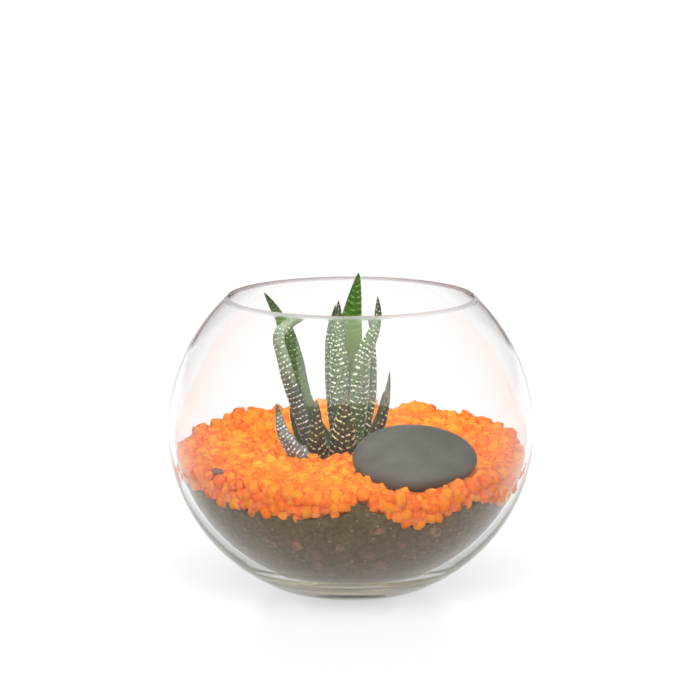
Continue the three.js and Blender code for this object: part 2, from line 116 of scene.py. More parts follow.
def spin_outline(name: str, outline: Outline, steps: int) -> Piece:
    """Turns an outline about the upright axis into a closed body.

    Args:
        name: The name of the new object.
        outline: Points of radius and height, from the axis back to the axis.
        steps: How many sides the turned body has.

    Returns:
        The new object, with its faces outwards.
    """
    deselect_all()
    bpy.ops.mesh.primitive_plane_add(size=MM)
    piece = bpy.context.object
    piece.name = name
    edit_all()
    bpy.ops.mesh.merge(type="CENTER")
    radius, level = outline[0]
    bpy.ops.transform.translate(value=(radius, 0, level))
    for here, there in zip(outline, outline[1:]):
        step = (there[0] - here[0], 0, there[1] - here[1])
        bpy.ops.mesh.extrude_region_move(TRANSFORM_OT_translate={"value": step})
    bpy.ops.mesh.select_all(action="SELECT")
    bpy.ops.mesh.spin(steps=steps, angle=FULL_TURN, center=(0, 0, 0), axis=(0, 0, 1))
    bpy.ops.mesh.select_all(action="SELECT")
    bpy.ops.mesh.remove_doubles(threshold=WELD)
    bpy.ops.mesh.normals_make_consistent(inside=False)
    leave_edit()
    bpy.ops.object.shade_smooth()
    return piece


def roughen(piece: Piece, grain: float, height: float, detail: int) -> None:
    """Moves a piece's surface in and out by a cloudy pattern, and applies it.

    Args:
        piece: The object to roughen.
        grain: The size of the pattern's lumps.
        height: How far the surface moves in all.
        detail: How many finer layers the pattern has.
    """
    pattern = bpy.data.textures.new(piece.name + "_lumps", "CLOUDS")
    pattern.noise_scale = grain
    pattern.noise_depth = detail
    take_up(piece)
    lumps = piece.modifiers.new("lumps", "DISPLACE")
    lumps.texture = pattern
    lumps.texture_coords = "LOCAL"
    lumps.strength = height
    lumps.mid_level = 0.5
    bpy.ops.object.modifier_apply(modifier=lumps.name)


def settle(piece: Piece) -> None:
    """Puts a piece's place, turn and scale into its mesh."""
    take_up(piece)
    bpy.ops.object.transform_apply(location=True, rotation=True, scale=True)


def hand_over(piece: Piece, slot: str, *nodes: str) -> None:
    """Lets a finished piece ride on the part and stand for its nodes.

    Args:
        piece: The finished object.
        slot: Names a material slot; not used.
        nodes: The nodes of the part that the piece replaces.
    """
    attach(piece, ROOT_BODY)
    if nodes:
        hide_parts(*nodes)
    piece.data.calc_loop_triangles()
    log.info("%s: %d triangles", piece.name, len(piece.data.loop_triangles))


def node_tree(*nodes: str) -> BVHTree:
    """A search tree of some nodes of the part.

    Args:
        nodes: The nodes' names.

    Returns:
        The tree of their faces.
    """
    points: list[Vector] = []
    faces: list[tuple[int, ...]] = []
    for node in nodes:
        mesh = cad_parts[node].data
        first = len(points)
        points.extend(vertex.co for vertex in mesh.vertices)
        faces.extend(tuple(first + i for i in face.vertices) for face in mesh.polygons)
    return BVHTree.FromPolygons(points, faces)


@dataclass
class Shape:
    """A small closed mesh that many copies are made of."""

    points: list[Vector]
    faces: list[tuple[int, ...]]

    @classmethod
    def from_blank(cls, blank: Piece) -> "Shape":
        """Reads a modelled blank, and deletes it.

        Args:
            blank: The object to read.

        Returns:
            Its shape.
        """
        points = [vertex.co.copy() for vertex in blank.data.vertices]
        shape = cls(points, [tuple(face.vertices) for face in blank.data.polygons])
        bpy.data.objects.remove(blank, do_unlink=True)
        return shape


class Gathering:
    """One mesh that is gathered from many placed shapes."""

    def __init__(self) -> None:
        """Starts with nothing in it."""
        self.points: list[Vector] = []
        self.faces: list[tuple[int, ...]] = []
        self.tints: list[float] = []
        self.finishes: list[int] = []

    def add(self, shape: Shape, place: Matrix, tint: float, finish: int = 0) -> None:
        """Adds a copy of a shape.

        Args:
            shape: The shape to copy.
            place: Where the copy goes.
            tint: A number that its finish can read.
            finish: Which of the mesh's materials it takes.
        """
        first = len(self.points)
        self.points.extend(place @ point for point in shape.points)
        self.faces.extend(tuple(first + i for i in face) for face in shape.faces)
        self.tints.extend([tint] * len(shape.points))
        self.finishes.extend([finish] * len(shape.faces))

    def mesh(self, name: str) -> Piece:
        """Makes the object.

        Args:
            name: The object's name.

        Returns:
            The new object, shaded smooth.
        """
        mesh = bpy.data.meshes.new(name)
        mesh.from_pydata([tuple(p) for p in self.points], [], self.faces)
        mesh.attributes.new("tint", "FLOAT", "POINT").data.foreach_set("value", self.tints)
        mesh.polygons.foreach_set("material_index", self.finishes)
        mesh.polygons.foreach_set("use_smooth", [True] * len(self.faces))
        mesh.update()
        piece = bpy.data.objects.new(name, mesh)
        bpy.context.scene.collection.objects.link(piece)
        return piece


# ---- Finishes ----


class Nodes:
    """A node tree, with short calls for the nodes in use."""

    def __init__(self, tree: bpy.types.NodeTree, coordinates: str) -> None:
        """Takes up the tree of a material or of the world, with the coordinates its patterns read."""
        self.tree = tree
        self.place = self.node("TexCoord").outputs[coordinates]

    def put(self, value: Value, socket: Socket) -> None:
        """Gives an input its value, or joins an output to it.

        Args:
            value: A number, a colour or vector, or an output.
            socket: The input.
        """
        if isinstance(value, Socket):
            self.tree.links.new(value, socket)
        else:
            socket.default_value = (*value, 1) if socket.type == "RGBA" else value

    def fill(self, node: bpy.types.Node, **inputs: Value) -> None:
        """Fills a node's inputs, which are named with _ for a blank."""
        for name, value in inputs.items():
            self.put(value, node.inputs[name.replace("_", " ")])

    def node(self, kind: str, **inputs: Value) -> bpy.types.Node:
        """Adds a node.

        Args:
            kind: Its type, without ShaderNode.
            inputs: The value of each input.

        Returns:
            The node.
        """
        node = self.tree.nodes.new("ShaderNode" + kind)
        self.fill(node, **inputs)
        return node

    def maths(self, operation: str, *terms: Value, kind: str = "Math") -> Socket:
        """Works out a number.

        Args:
            operation: What is done.
            terms: The numbers or outputs that it is done with.
            kind: Math, or VectorMath where the terms are vectors.

        Returns:
            The result.
        """
        node = self.node(kind)
        node.operation = operation
        for socket, term in zip(node.inputs, terms):
            self.put(term, socket)
        return node.outputs["Value"]

    def times(self, first: Value, second: Value) -> Socket:
        """One number times another."""
        return self.maths("MULTIPLY", first, second)

    def mask(self, value: Socket, span: Range, result: Range = (0.0, 1.0)) -> Socket:
        """A soft step between two numbers.

        Args:
            value: The number to test.
            span: Where the step starts and where it ends, which may be lower.
            result: What it is at its start and end.

        Returns:
            The step.
        """
        node = self.node("MapRange", Value=value, From_Min=span[0], From_Max=span[1])
        self.fill(node, To_Min=result[0], To_Max=result[1])
        node.interpolation_type = "SMOOTHSTEP"
        return node.outputs["Result"]


class Paint(Nodes):
    """A material round one Principled shader."""

    def __init__(self, name: str) -> None:
        """Makes an empty material.

        Args:
            name: The material's name.
        """
        self.material = bpy.data.materials.new(name)
        self.material.use_nodes = True
        super().__init__(self.material.node_tree, "Object")
        self.shader = self.tree.nodes["Principled BSDF"]

    def set(self, **values: Value) -> None:
        """Fills the shader's sockets, which are named with _ for a blank."""
        self.fill(self.shader, **values)

    def noise(self, size: float, detail: float, stretch: Point = (1, 1, 1)) -> Socket:
        """A cloudy pattern with lumps of a size, tighter along each axis by its stretch."""
        place = self.node("Mapping", Vector=self.place, Scale=stretch).outputs["Vector"]
        return self.node("TexNoise", Vector=place, Scale=1 / size, Detail=detail).outputs["Fac"]

    def specks(self, gap: float) -> Socket:
        """The distance from scattered points, in shares of the gap between them."""
        return self.node("TexVoronoi", Vector=self.place, Scale=1 / gap).outputs["Distance"]

    def attribute(self, name: str) -> Socket:
        """A number that the mesh carries.

        Args:
            name: The attribute's name.

        Returns:
            Its value.
        """
        node = self.node("Attribute")
        node.attribute_name = name
        return node.outputs["Fac"]

    def blend(self, first: Socket, second: Socket, share: float) -> Socket:
        """Two numbers added, the second with its share and the first with the rest."""
        return self.maths("ADD", self.times(first, 1 - share), self.times(second, share))

    def ramp(self, value: Socket, *stops: tuple[float, Colour]) -> Socket:
        """Colours by a number.

        Args:
            value: The number, 0 to 1.
            stops: The number and colour of each stop.

        Returns:
            The colour.
        """
        node = self.node("ValToRGB", Fac=value)
        elements = node.color_ramp.elements
        while len(elements) < len(stops):
            elements.new(0.5)
        for element, (position, colour) in zip(elements, stops):
            element.position = position
            element.color = (*colour, 1)
        return node.outputs["Color"]

    def mix(self, share: Value, under: Value, over: Value) -> Socket:
        """One colour laid over another.

        Args:
            share: How much of the upper colour shows.
            under: The lower colour.
            over: The upper colour.

        Returns:
            The mixed colour.
        """
        node = self.node("Mix")
        node.data_type = "RGBA"
        for i, value in zip(MIX_COLOUR_INPUTS, (share, under, over)):
            self.put(value, node.inputs[i])
        return node.outputs[MIX_COLOUR_OUTPUT]

    def bump(self, pattern: Socket, height: float) -> None:
        """Gives the surface the relief of a pattern, with a height."""
        relief = self.node("Bump", Height=pattern, Distance=height)
        self.set(Normal=relief.outputs["Normal"])


@dataclass(frozen=True)
class ClearGlass:
    """Clear polished glass with a trace of olive in its depth and a satin lip."""

    tint: Colour = (1.0, 1.0, 1.0)
    depth_tint: Colour = (0.42, 0.40, 0.26)
    depth_strength: float = 16.0
    bend: float = 1.5
    sheen: Colour = (0.3, 0.3, 0.3)
    lip_roughness: float = 0.6
    lip_tint: Colour = (0.88, 0.96, 1.0)

    def paint(self) -> bpy.types.Material:
        """Makes the material.

        Returns:
            The material.
        """
        paint = Paint("clear_glass")
        lip = paint.attribute("lip")
        paint.set(Base_Color=paint.mix(lip, self.tint, self.lip_tint))
        paint.set(Roughness=paint.times(lip, self.lip_roughness))
        paint.set(IOR=self.bend, Transmission_Weight=1.0, Specular_Tint=self.sheen)
        depth = paint.node("VolumeAbsorption", Color=self.depth_tint, Density=self.depth_strength)
        paint.fill(paint.tree.nodes["Material Output"], Volume=depth.outputs["Volume"])
        return paint.material


@dataclass(frozen=True)
class DampSoil:
    """Dark potting soil with crumbs, patches and pale specks."""

    dark: Colour = (0.078, 0.048, 0.013)
    light: Colour = (0.172, 0.114, 0.041)
    tones: Range = (0.38, 0.66)
    crumb: float = 1.8 * MM
    patch: float = 14.4 * MM
    patch_share: float = 0.3
    relief: float = 0.5 * MM
    speck: Colour = (0.50, 0.40, 0.27)
    speck_gap: float = 2.4 * MM
    speck_reach: Range = (0.20, 0.10)
    speck_patch: float = 7.2 * MM
    speck_patches: Range = (0.48, 0.60)

    def paint(self) -> bpy.types.Material:
        """Makes the material.

        Returns:
            The material.
        """
        paint = Paint("damp_soil")
        crumbs = paint.noise(self.crumb, detail=6)
        tone = paint.blend(crumbs, paint.noise(self.patch, detail=3), self.patch_share)
        earth = paint.ramp(tone, *zip(self.tones, (self.dark, self.light)))
        near = paint.mask(paint.specks(self.speck_gap), self.speck_reach)
        few = paint.mask(paint.noise(self.speck_patch, detail=1), self.speck_patches)
        paint.set(Base_Color=paint.mix(paint.times(near, few), earth, self.speck), Roughness=0.9)
        paint.bump(crumbs, self.relief)
        return paint.material


@dataclass(frozen=True)
class DyedGravel:
    """Dyed orange grains, each a little different, with a chalky broken skin and painted shade in their
    pits.
    """

    name: str = "dyed_gravel"
    deep: Colour = (0.93, 0.128, 0.006)
    middle: Colour = (0.98, 0.200, 0.004)
    bright: Colour = (1.0, 0.34, 0.018)
    tints: Point = (0.0, 0.45, 1.0)
    worn_patch: float = 1.65 * MM
    worn: Range = (0.45, 0.75)
    pit: float = 0.55 * MM
    # pits: where the pit pattern is low, the grain takes its deep tint, a painted shade in the pits
    pits: Range = (0.42, 0.30)
    relief: float = 0.12 * MM
    dust: float = 0.0
    dust_colour: Colour = (0.13, 0.10, 0.075)
    dust_patch: float = 2.75 * MM
    dust_from: float = 0.62
    dust_to: float = 0.95

    def paint(self) -> bpy.types.Material:
        """Makes the material.

        Returns:
            The material.
        """
        paint = Paint(self.name)
        colours = (self.deep, self.middle, self.bright)
        each = paint.ramp(paint.attribute("tint"), *zip(self.tints, colours))
        patches = paint.noise(self.worn_patch, detail=3)
        worn = paint.mix(paint.mask(patches, self.worn), each, self.bright)
        pits = paint.noise(self.pit, detail=4)
        # Painted shade: the pits, which the bump sinks, are darkened to the deep tint
        shaded = paint.mix(paint.mask(pits, self.pits), worn, self.deep)
        if self.dust:
            span = (self.dust_from - self.dust, self.dust_to - self.dust)
            film = paint.mask(paint.noise(self.dust_patch, detail=4), span)
            shaded = paint.mix(film, shaded, self.dust_colour)
        paint.set(Base_Color=shaded, Roughness=0.62, Specular_IOR_Level=0.3)
        paint.bump(pits, self.relief)
        return paint.material


@dataclass(frozen=True)
class RiverStone:
    """Smooth matte grey stone with fine grain."""

    dark: Colour = (0.062, 0.061, 0.049)
    light: Colour = (0.116, 0.112, 0.091)
    tones: Range = (0.35, 0.68)
    cloud: float = 9 * MM
    cloud_stretch: Point = (1, 1.4, 2)
    grain: float = 0.8 * MM
    grain_share: float = 0.4
    relief: float = 0.01 * MM

    def paint(self) -> bpy.types.Material:
        """Makes the material.

        Returns:
            The material.
        """
        paint = Paint("river_stone")
        clouds = paint.noise(self.cloud, detail=4, stretch=self.cloud_stretch)
        grains = paint.noise(self.grain, detail=5)
        tone = paint.blend(clouds, grains, self.grain_share)
        paint.set(Base_Color=paint.ramp(tone, *zip(self.tones, (self.dark, self.light))))
        paint.set(Roughness=0.5, Specular_IOR_Level=0.35)
        paint.bump(grains, self.relief)
        return paint.material


@dataclass(frozen=True)
class TubercleSkin:
    """Chalky skin of the raised tubercles."""

    name: str
    pale: Colour
    white: Colour
    grain: float = 0.25 * MM
    relief: float = 0.02 * MM

    def paint(self) -> bpy.types.Material:
        """Makes the material.

        Returns:
            The material.
        """
        paint = Paint(self.name)
        colour = paint.ramp(paint.attribute("tint"), (0.0, self.pale), (1.0, self.white))
        paint.set(Base_Color=colour, Roughness=0.5, Specular_IOR_Level=0.3)
        paint.bump(paint.noise(self.grain, detail=2), self.relief)
        return paint.material


@dataclass(frozen=True)
class LeafSkin:
    """Firm waxy leaf skin with a paler ridge under each row of tubercles."""

    name: str
    deep: Colour
    fresh: Colour
    ridge: Colour
    tip: Colour
    foot: Colour
    ridge_share: float
    tubercle: TubercleSkin
    foot_reach: Range = (0.16, 0.0)
    tip_reach: Range = (0.80, 0.94)
    mottle: float = 2.5 * MM
    mottles: Range = (0.35, 0.7)
    crest: Range = (0.25, 0.9)
    break_size: float = 1.1 * MM
    breaks: Range = (0.38, 0.56)
    grain: float = 0.35 * MM
    relief: float = 0.03 * MM

    def paint(self) -> bpy.types.Material:
        """Makes the material.

        Returns:
            The material.
        """
        paint = Paint(self.name)
        share, row, outer = (paint.attribute(name) for name in ("share", "row", "outer"))
        mottled = paint.mask(paint.noise(self.mottle, detail=4), self.mottles)
        green = paint.mix(mottled, self.deep, self.fresh)
        tipped = paint.mix(paint.mask(share, self.tip_reach), green, self.tip)
        footed = paint.mix(paint.mask(share, self.foot_reach), tipped, self.foot)
        crest = paint.mask(paint.maths("COSINE", paint.times(row, FULL_TURN)), self.crest)
        broken = paint.mask(paint.noise(self.break_size, detail=2), self.breaks)
        ridge = paint.times(paint.times(paint.times(crest, broken), outer), self.ridge_share)
        paint.set(Base_Color=paint.mix(ridge, footed, self.ridge))
        paint.set(Roughness=0.45, Specular_IOR_Level=0.28)
        paint.bump(paint.noise(self.grain, detail=3), self.relief)
        return paint.material


@dataclass(frozen=True)
class StemBark:
    """Dull pale green stem with brown scars of shed leaves."""

    green: Colour = (0.22, 0.24, 0.09)
    brown: Colour = (0.14, 0.085, 0.04)
    ring: float = 1.6 * MM
    ring_stretch: Point = (1, 1, 3)
    rings: Range = (0.4, 0.65)
    relief: float = 0.15 * MM

    def paint(self) -> bpy.types.Material:
        """Makes the material.

        Returns:
            The material.
        """
        paint = Paint("stem_bark")
        rings = paint.noise(self.ring, detail=4, stretch=self.ring_stretch)
        paint.set(Base_Color=paint.mix(paint.mask(rings, self.rings), self.green, self.brown))
        paint.set(Roughness=0.7)
        paint.bump(rings, self.relief)
        return paint.material


class Skin(Enum):
    """The looks that a leaf can have."""

    BRIGHT = LeafSkin(
        name="leaf_bright",
        deep=(0.021, 0.066, 0.003),
        fresh=(0.038, 0.096, 0.007),
        ridge=(0.13, 0.25, 0.05),
        tip=(0.027, 0.062, 0.007),
        foot=(0.105, 0.170, 0.010),
        ridge_share=0.85,
        tubercle=TubercleSkin("green_tubercle", (0.34, 0.50, 0.20), (0.62, 0.72, 0.46)),
        foot_reach=(0.80, 0.60),
    )
    GREEN = LeafSkin(
        name="leaf_green",
        deep=(0.036, 0.070, 0.014),
        fresh=(0.074, 0.122, 0.028),
        ridge=(0.24, 0.30, 0.14),
        tip=(0.012, 0.028, 0.005),
        foot=(0.18, 0.17, 0.05),
        ridge_share=0.22,
        tubercle=TubercleSkin("white_tubercle", (0.66, 0.69, 0.50), (0.90, 0.92, 0.78)),
    )
    GREY = LeafSkin(
        name="leaf_grey",
        deep=(0.105, 0.125, 0.110),
        fresh=(0.205, 0.225, 0.205),
        ridge=(0.34, 0.38, 0.32),
        tip=(0.036, 0.060, 0.026),
        foot=(0.19, 0.19, 0.14),
        ridge_share=0.35,
        tubercle=TubercleSkin("silver_tubercle", (0.58, 0.60, 0.56), (0.86, 0.87, 0.86)),
    )
    PALE = LeafSkin(
        name="leaf_pale",
        deep=(0.140, 0.180, 0.110),
        fresh=(0.230, 0.280, 0.190),
        ridge=(0.34, 0.38, 0.30),
        tip=(0.150, 0.195, 0.105),
        foot=(0.060, 0.072, 0.050),
        ridge_share=0.30,
        tubercle=TubercleSkin("pale_tubercle", (0.68, 0.72, 0.60), (0.90, 0.92, 0.84)),
        foot_reach=(0.62, 0.42),
    )
    OLIVE = LeafSkin(
        name="leaf_olive",
        deep=(0.015, 0.008, 0.001),
        fresh=(0.054, 0.053, 0.003),
        ridge=(0.16, 0.15, 0.04),
        tip=(0.050, 0.052, 0.006),
        foot=(0.10, 0.065, 0.018),
        ridge_share=0.08,
        tubercle=TubercleSkin("cream_tubercle", (0.42, 0.38, 0.15), (0.68, 0.63, 0.34)),
    )


# ---- The bowl ----


@dataclass
class GlassBowl:
    """A blown glass ball, cut open at the top, with a rounded lip and a thick flat foot."""

    widest_level: float = 66 * MM
    outer_radius: float = 75 * MM
    outer_rise: float = 75 * MM
    outer_drop: float = 71 * MM
    cavity_radius: float = 72.8 * MM
    cavity_rise: float = 73.8 * MM
    cavity_drop: float = 66.8 * MM
    cavity_floor: float = 6 * MM
    cavity_heel: float = 12.5 * MM
    lip_angle: float = math.radians(47.5)
    lip_thinning: float = 0.6
    lip_thinning_from: float = 0.6
    punt: tuple[Spot, ...] = ((0, 1.4 * MM), (11 * MM, 1.0 * MM), (17 * MM, 0.35 * MM))
    foot_inside: float = 20 * MM
    foot_outside: float = 26 * MM
    foot_round: float = 0.5 * MM
    foot_lift: float = 0.125 * MM
    heel_height: float = 1.2 * MM
    ripple: float = 0.13 * MM
    ripple_pitch: float = 4.1 * MM
    ripple_start: float = 1.5 * MM
    ripple_end: float = 14 * MM
    wall_steps: int = 64
    shoulder_steps: int = 24
    lip_steps: int = 12
    heel_steps: int = 9
    sides: int = 192
    finish: ClearGlass = ClearGlass()

    def heel_curve(self, share: float) -> Spot:
        """A point of the rounded edge between the cavity's wall and its floor.

        Args:
            share: 0 on the wall to 1 on the floor.

        Returns:
            Its radius and height.
        """
        start_angle = math.asin((self.cavity_heel - self.widest_level) / self.cavity_drop)
        start = self.cavity_radius * math.cos(start_angle)
        lean = self.cavity_radius * math.sin(start_angle) / (self.cavity_drop * math.cos(start_angle))
        corner = start - (self.cavity_floor - self.cavity_heel) * lean
        end = corner - math.hypot(corner - start, self.cavity_floor - self.cavity_heel)
        rest = 1 - share
        radius = rest**2 * start + 2 * share * rest * corner + share**2 * end
        return radius, self.cavity_floor + rest**2 * (self.cavity_heel - self.cavity_floor)

    def room(self, level: float, inset: float) -> float:
        """The radius of the cavity at a level.

        Args:
            level: The height over the floor.
            inset: How far to stay off the glass.

        Returns:
            The radius that is left.
        """
        if level < self.cavity_heel:
            depth = (level - self.cavity_floor) / (self.cavity_heel - self.cavity_floor)
            return self.heel_curve(1 - math.sqrt(max(depth, 0)))[0] - inset
        rise = level - self.widest_level
        reach = (self.cavity_rise if rise > 0 else self.cavity_drop) - inset
        return (self.cavity_radius - inset) * math.cos(math.asin(rise / reach))

    def arc(self, radius: float, rise: float, start: float, end: float, steps: int) -> Outline:
        """Points on an ellipse round the middle of the widest level, between two angles over it."""
        angles = [start + (end - start) * i / steps for i in range(steps + 1)]
        return [(radius * math.cos(a), self.widest_level + rise * math.sin(a)) for a in angles]

    def rippled(self, point: Spot) -> Spot:
        """A point of the outside, moved by the faint rings that blowing leaves round the foot.

        Args:
            point: Its radius and height.

        Returns:
            Its new radius and height.
        """
        radius, level = point
        if level > self.ripple_end:
            return point
        fade = math.sin(math.pi * level / self.ripple_end)
        wave = math.sin(FULL_TURN * (level - self.ripple_start) / self.ripple_pitch)
        return radius + self.ripple * fade * wave, level

    def outside(self) -> Outline:
        """The outer side from the edge of the foot to the lip.

        Returns:
            Points of radius and height.
        """
        heel = math.asin((self.heel_height - self.widest_level) / self.outer_drop)
        belly = self.arc(self.outer_radius, self.outer_drop, heel, 0, self.wall_steps)
        shoulder = self.arc(self.outer_radius, self.outer_rise, 0, self.lip_angle, self.shoulder_steps)
        return [self.rippled(point) for point in belly] + shoulder[1:]

    def inside(self, outside: Outline) -> Outline:
        """The inner side from the lip, where the wall thins, to the middle of the floor.

        Args:
            outside: The outer side.

        Returns:
            Points of radius and height.
        """
        wall = self.arc(self.cavity_radius, self.cavity_rise, self.lip_angle, 0, self.shoulder_steps)
        for i, outer in enumerate(outside[: -self.shoulder_steps - 2 : -1]):
            near_lip = 1 - i / self.shoulder_steps - self.lip_thinning_from
            share = self.lip_thinning * max(0.0, near_lip) / (1 - self.lip_thinning_from)
            wall[i] = tuple(Vector(wall[i]).lerp(Vector(outer), share))
        bottom = math.asin((self.cavity_heel - self.widest_level) / self.cavity_drop)
        wall += self.arc(self.cavity_radius, self.cavity_drop, 0, bottom, self.wall_steps)[1:]
        heel = [self.heel_curve(i / self.heel_steps) for i in range(1, self.heel_steps + 1)]
        return wall + heel + [(0, self.cavity_floor)]

    def lip(self, outer: Spot, inner: Spot) -> Outline:
        """The half round of the lip between the two sides of the wall.

        Args:
            outer: The last point of the outer side.
            inner: The first point of the inner side.

        Returns:
            Points of radius and height.
        """
        middle = (Vector(outer) + Vector(inner)) / 2
        arm = Vector(outer) - middle
        turns = [math.pi * step / self.lip_steps for step in range(1, self.lip_steps)]
        return [tuple(middle + Matrix.Rotation(turn, 2) @ arm) for turn in turns]

    def build(self) -> None:
        """Blows the bowl."""
        foot = [
            (self.foot_inside - self.foot_round, self.foot_lift),
            (self.foot_inside, 0),
            (self.foot_outside, 0),
            (self.foot_outside + self.foot_round, self.foot_lift),
        ]
        outside = self.outside()
        inside = self.inside(outside)
        outline = [*self.punt, *foot, *outside, *self.lip(outside[-1], inside[0]), *inside]
        bowl = spin_outline("blown_bowl", outline, self.sides)
        start = self.widest_level + self.cavity_rise * math.sin(self.lip_angle) + self.foot_round
        satin = bowl.data.attributes.new("lip", "FLOAT", "POINT")
        satin.data.foreach_set("value", [float(vertex.co.z > start) for vertex in bowl.data.vertices])
        bowl.data.materials.append(self.finish.paint())
        hand_over(bowl, "glass", "glass_bowl")


# ---- The ground ----


@dataclass
class Ground:
    """Heights of the soil and of the gravel, as the part holds them."""

    bowl: GlassBowl
    edge: float = 69.6 * MM
    step: float = 0.4 * MM
    reach: float = 3.2 * MM
    feelers: int = 8
    upright: float = 0.25
    ragged: float = 1.5 * MM
    ragged_pitch: float = 3.6 * MM
    dip: float = 2.0 * MM
    dip_centre: Point = (25 * MM, -58 * MM, 0)
    dip_reach: float = 24 * MM

    def __post_init__(self) -> None:
        """Reads the part's own soil and gravel."""
        self.soil = node_tree("soil")
        self.gravel = node_tree("gravel")

    def drop(self, tree: BVHTree, x: float, y: float) -> float | None:
        """The height where a plumb line at x and y meets a surface, or None where it misses it."""
        hit, normal, _, _ = tree.ray_cast(Vector((x, y, cad_high.z)), -UP)
        return hit.z if hit and normal.z > self.upright else None

    def level(self, tree: BVHTree, x: float, y: float) -> float:
        """The height of a surface with its own grains smoothed away.

        Args:
            tree: The surface.
            x: Place to the right.
            y: Place to the back.

        Returns:
            The middle one of the heights round the place, or round the next place inwards
            that the surface reaches.
        """
        here = Vector((x, y))
        if here.length > self.edge:
            here = here.normalized() * self.edge
        while self.drop(tree, *here) is None and here.length > self.step:
            here -= here.normalized() * self.step
        heights = [self.drop(tree, *here)]
        for i in range(self.feelers):
            turn = FULL_TURN * i / self.feelers
            across, back = here.x + self.reach * math.cos(turn), here.y + self.reach * math.sin(turn)
            heights.append(self.drop(tree, across, back))
        found = sorted(height for height in heights if height is not None)
        return found[len(found) // 2]

    def soil_level(self, x: float, y: float) -> float:
        """The soil's height over a place, uneven where grains have sunk into it."""
        dent = noise.noise(Vector((x, y, 0)) / self.ragged_pitch)
        return self.level(self.soil, x, y) + self.ragged * dent

    def gravel_level(self, x: float, y: float) -> float:
        """The gravel's height over a place, a little lower in front of the pebble."""
        away = (Vector((x, y, 0)) - Vector(self.dip_centre)).length / self.dip_reach
        return self.level(self.gravel, x, y) - self.dip * max(0.0, 1 - away**2)

    def body(
        self, name: str, low: Heights, high: Heights, inset: float, rings: tuple[int, int], sides: int
    ) -> Piece:
        """A layer between two surfaces that fills the bowl to the glass.

        Args:
            name: The object's name.
            low: The height of its underside over a place.
            high: The height of its top over a place.
            inset: How far it stays off the glass.
            rings: How many rings its flats and its side have.
            sides: How many sides it has.

        Returns:
            The closed layer.
        """
        flat, side = rings
        blank = [(i / flat, 0.0) for i in range(flat)]
        blank += [(1.0, i / side) for i in range(side + 1)]
        blank += [(1 - i / flat, 1.0) for i in range(1, flat + 1)]
        layer = spin_outline(name, blank, sides)
        for vertex in layer.data.vertices:
            x, y, share = vertex.co
            radius, turn = math.hypot(x, y), math.atan2(y, x)
            rim = (self.edge * math.cos(turn), self.edge * math.sin(turn))
            floor, top = low(*rim), high(*rim)
            level = floor + share * (top - floor)
            span = radius * self.bowl.room(level, inset)
            place = (span * math.cos(turn), span * math.sin(turn))
            if radius < 1 - WELD:
                level = low(*place) if share < 0.5 else high(*place)
            vertex.co = (*place, level)
        return layer


@dataclass
class Soil:
    """Potting soil from the glass floor up to the gravel."""

    ground: Ground
    wall_gap: float = 0.75 * MM
    floor_gap: float = 0.6 * MM
    crumb: float = 2.6 * MM
    crumb_height: float = 0.5 * MM
    crumb_detail: int = 3
    rings: tuple[int, int] = (30, 34)
    sides: int = 240
    finish: DampSoil = DampSoil()

    def build(self) -> None:
        """Fills the bowl with soil."""
        floor = self.ground.bowl.cavity_floor + self.floor_gap
        top = self.ground.soil_level
        soil = self.ground.body(
            "potting_soil", lambda x, y: floor, top, self.wall_gap, self.rings, self.sides
        )
        roughen(soil, self.crumb, self.crumb_height, self.crumb_detail)
        soil.data.materials.append(self.finish.paint())
        hand_over(soil, "soil", "soil")


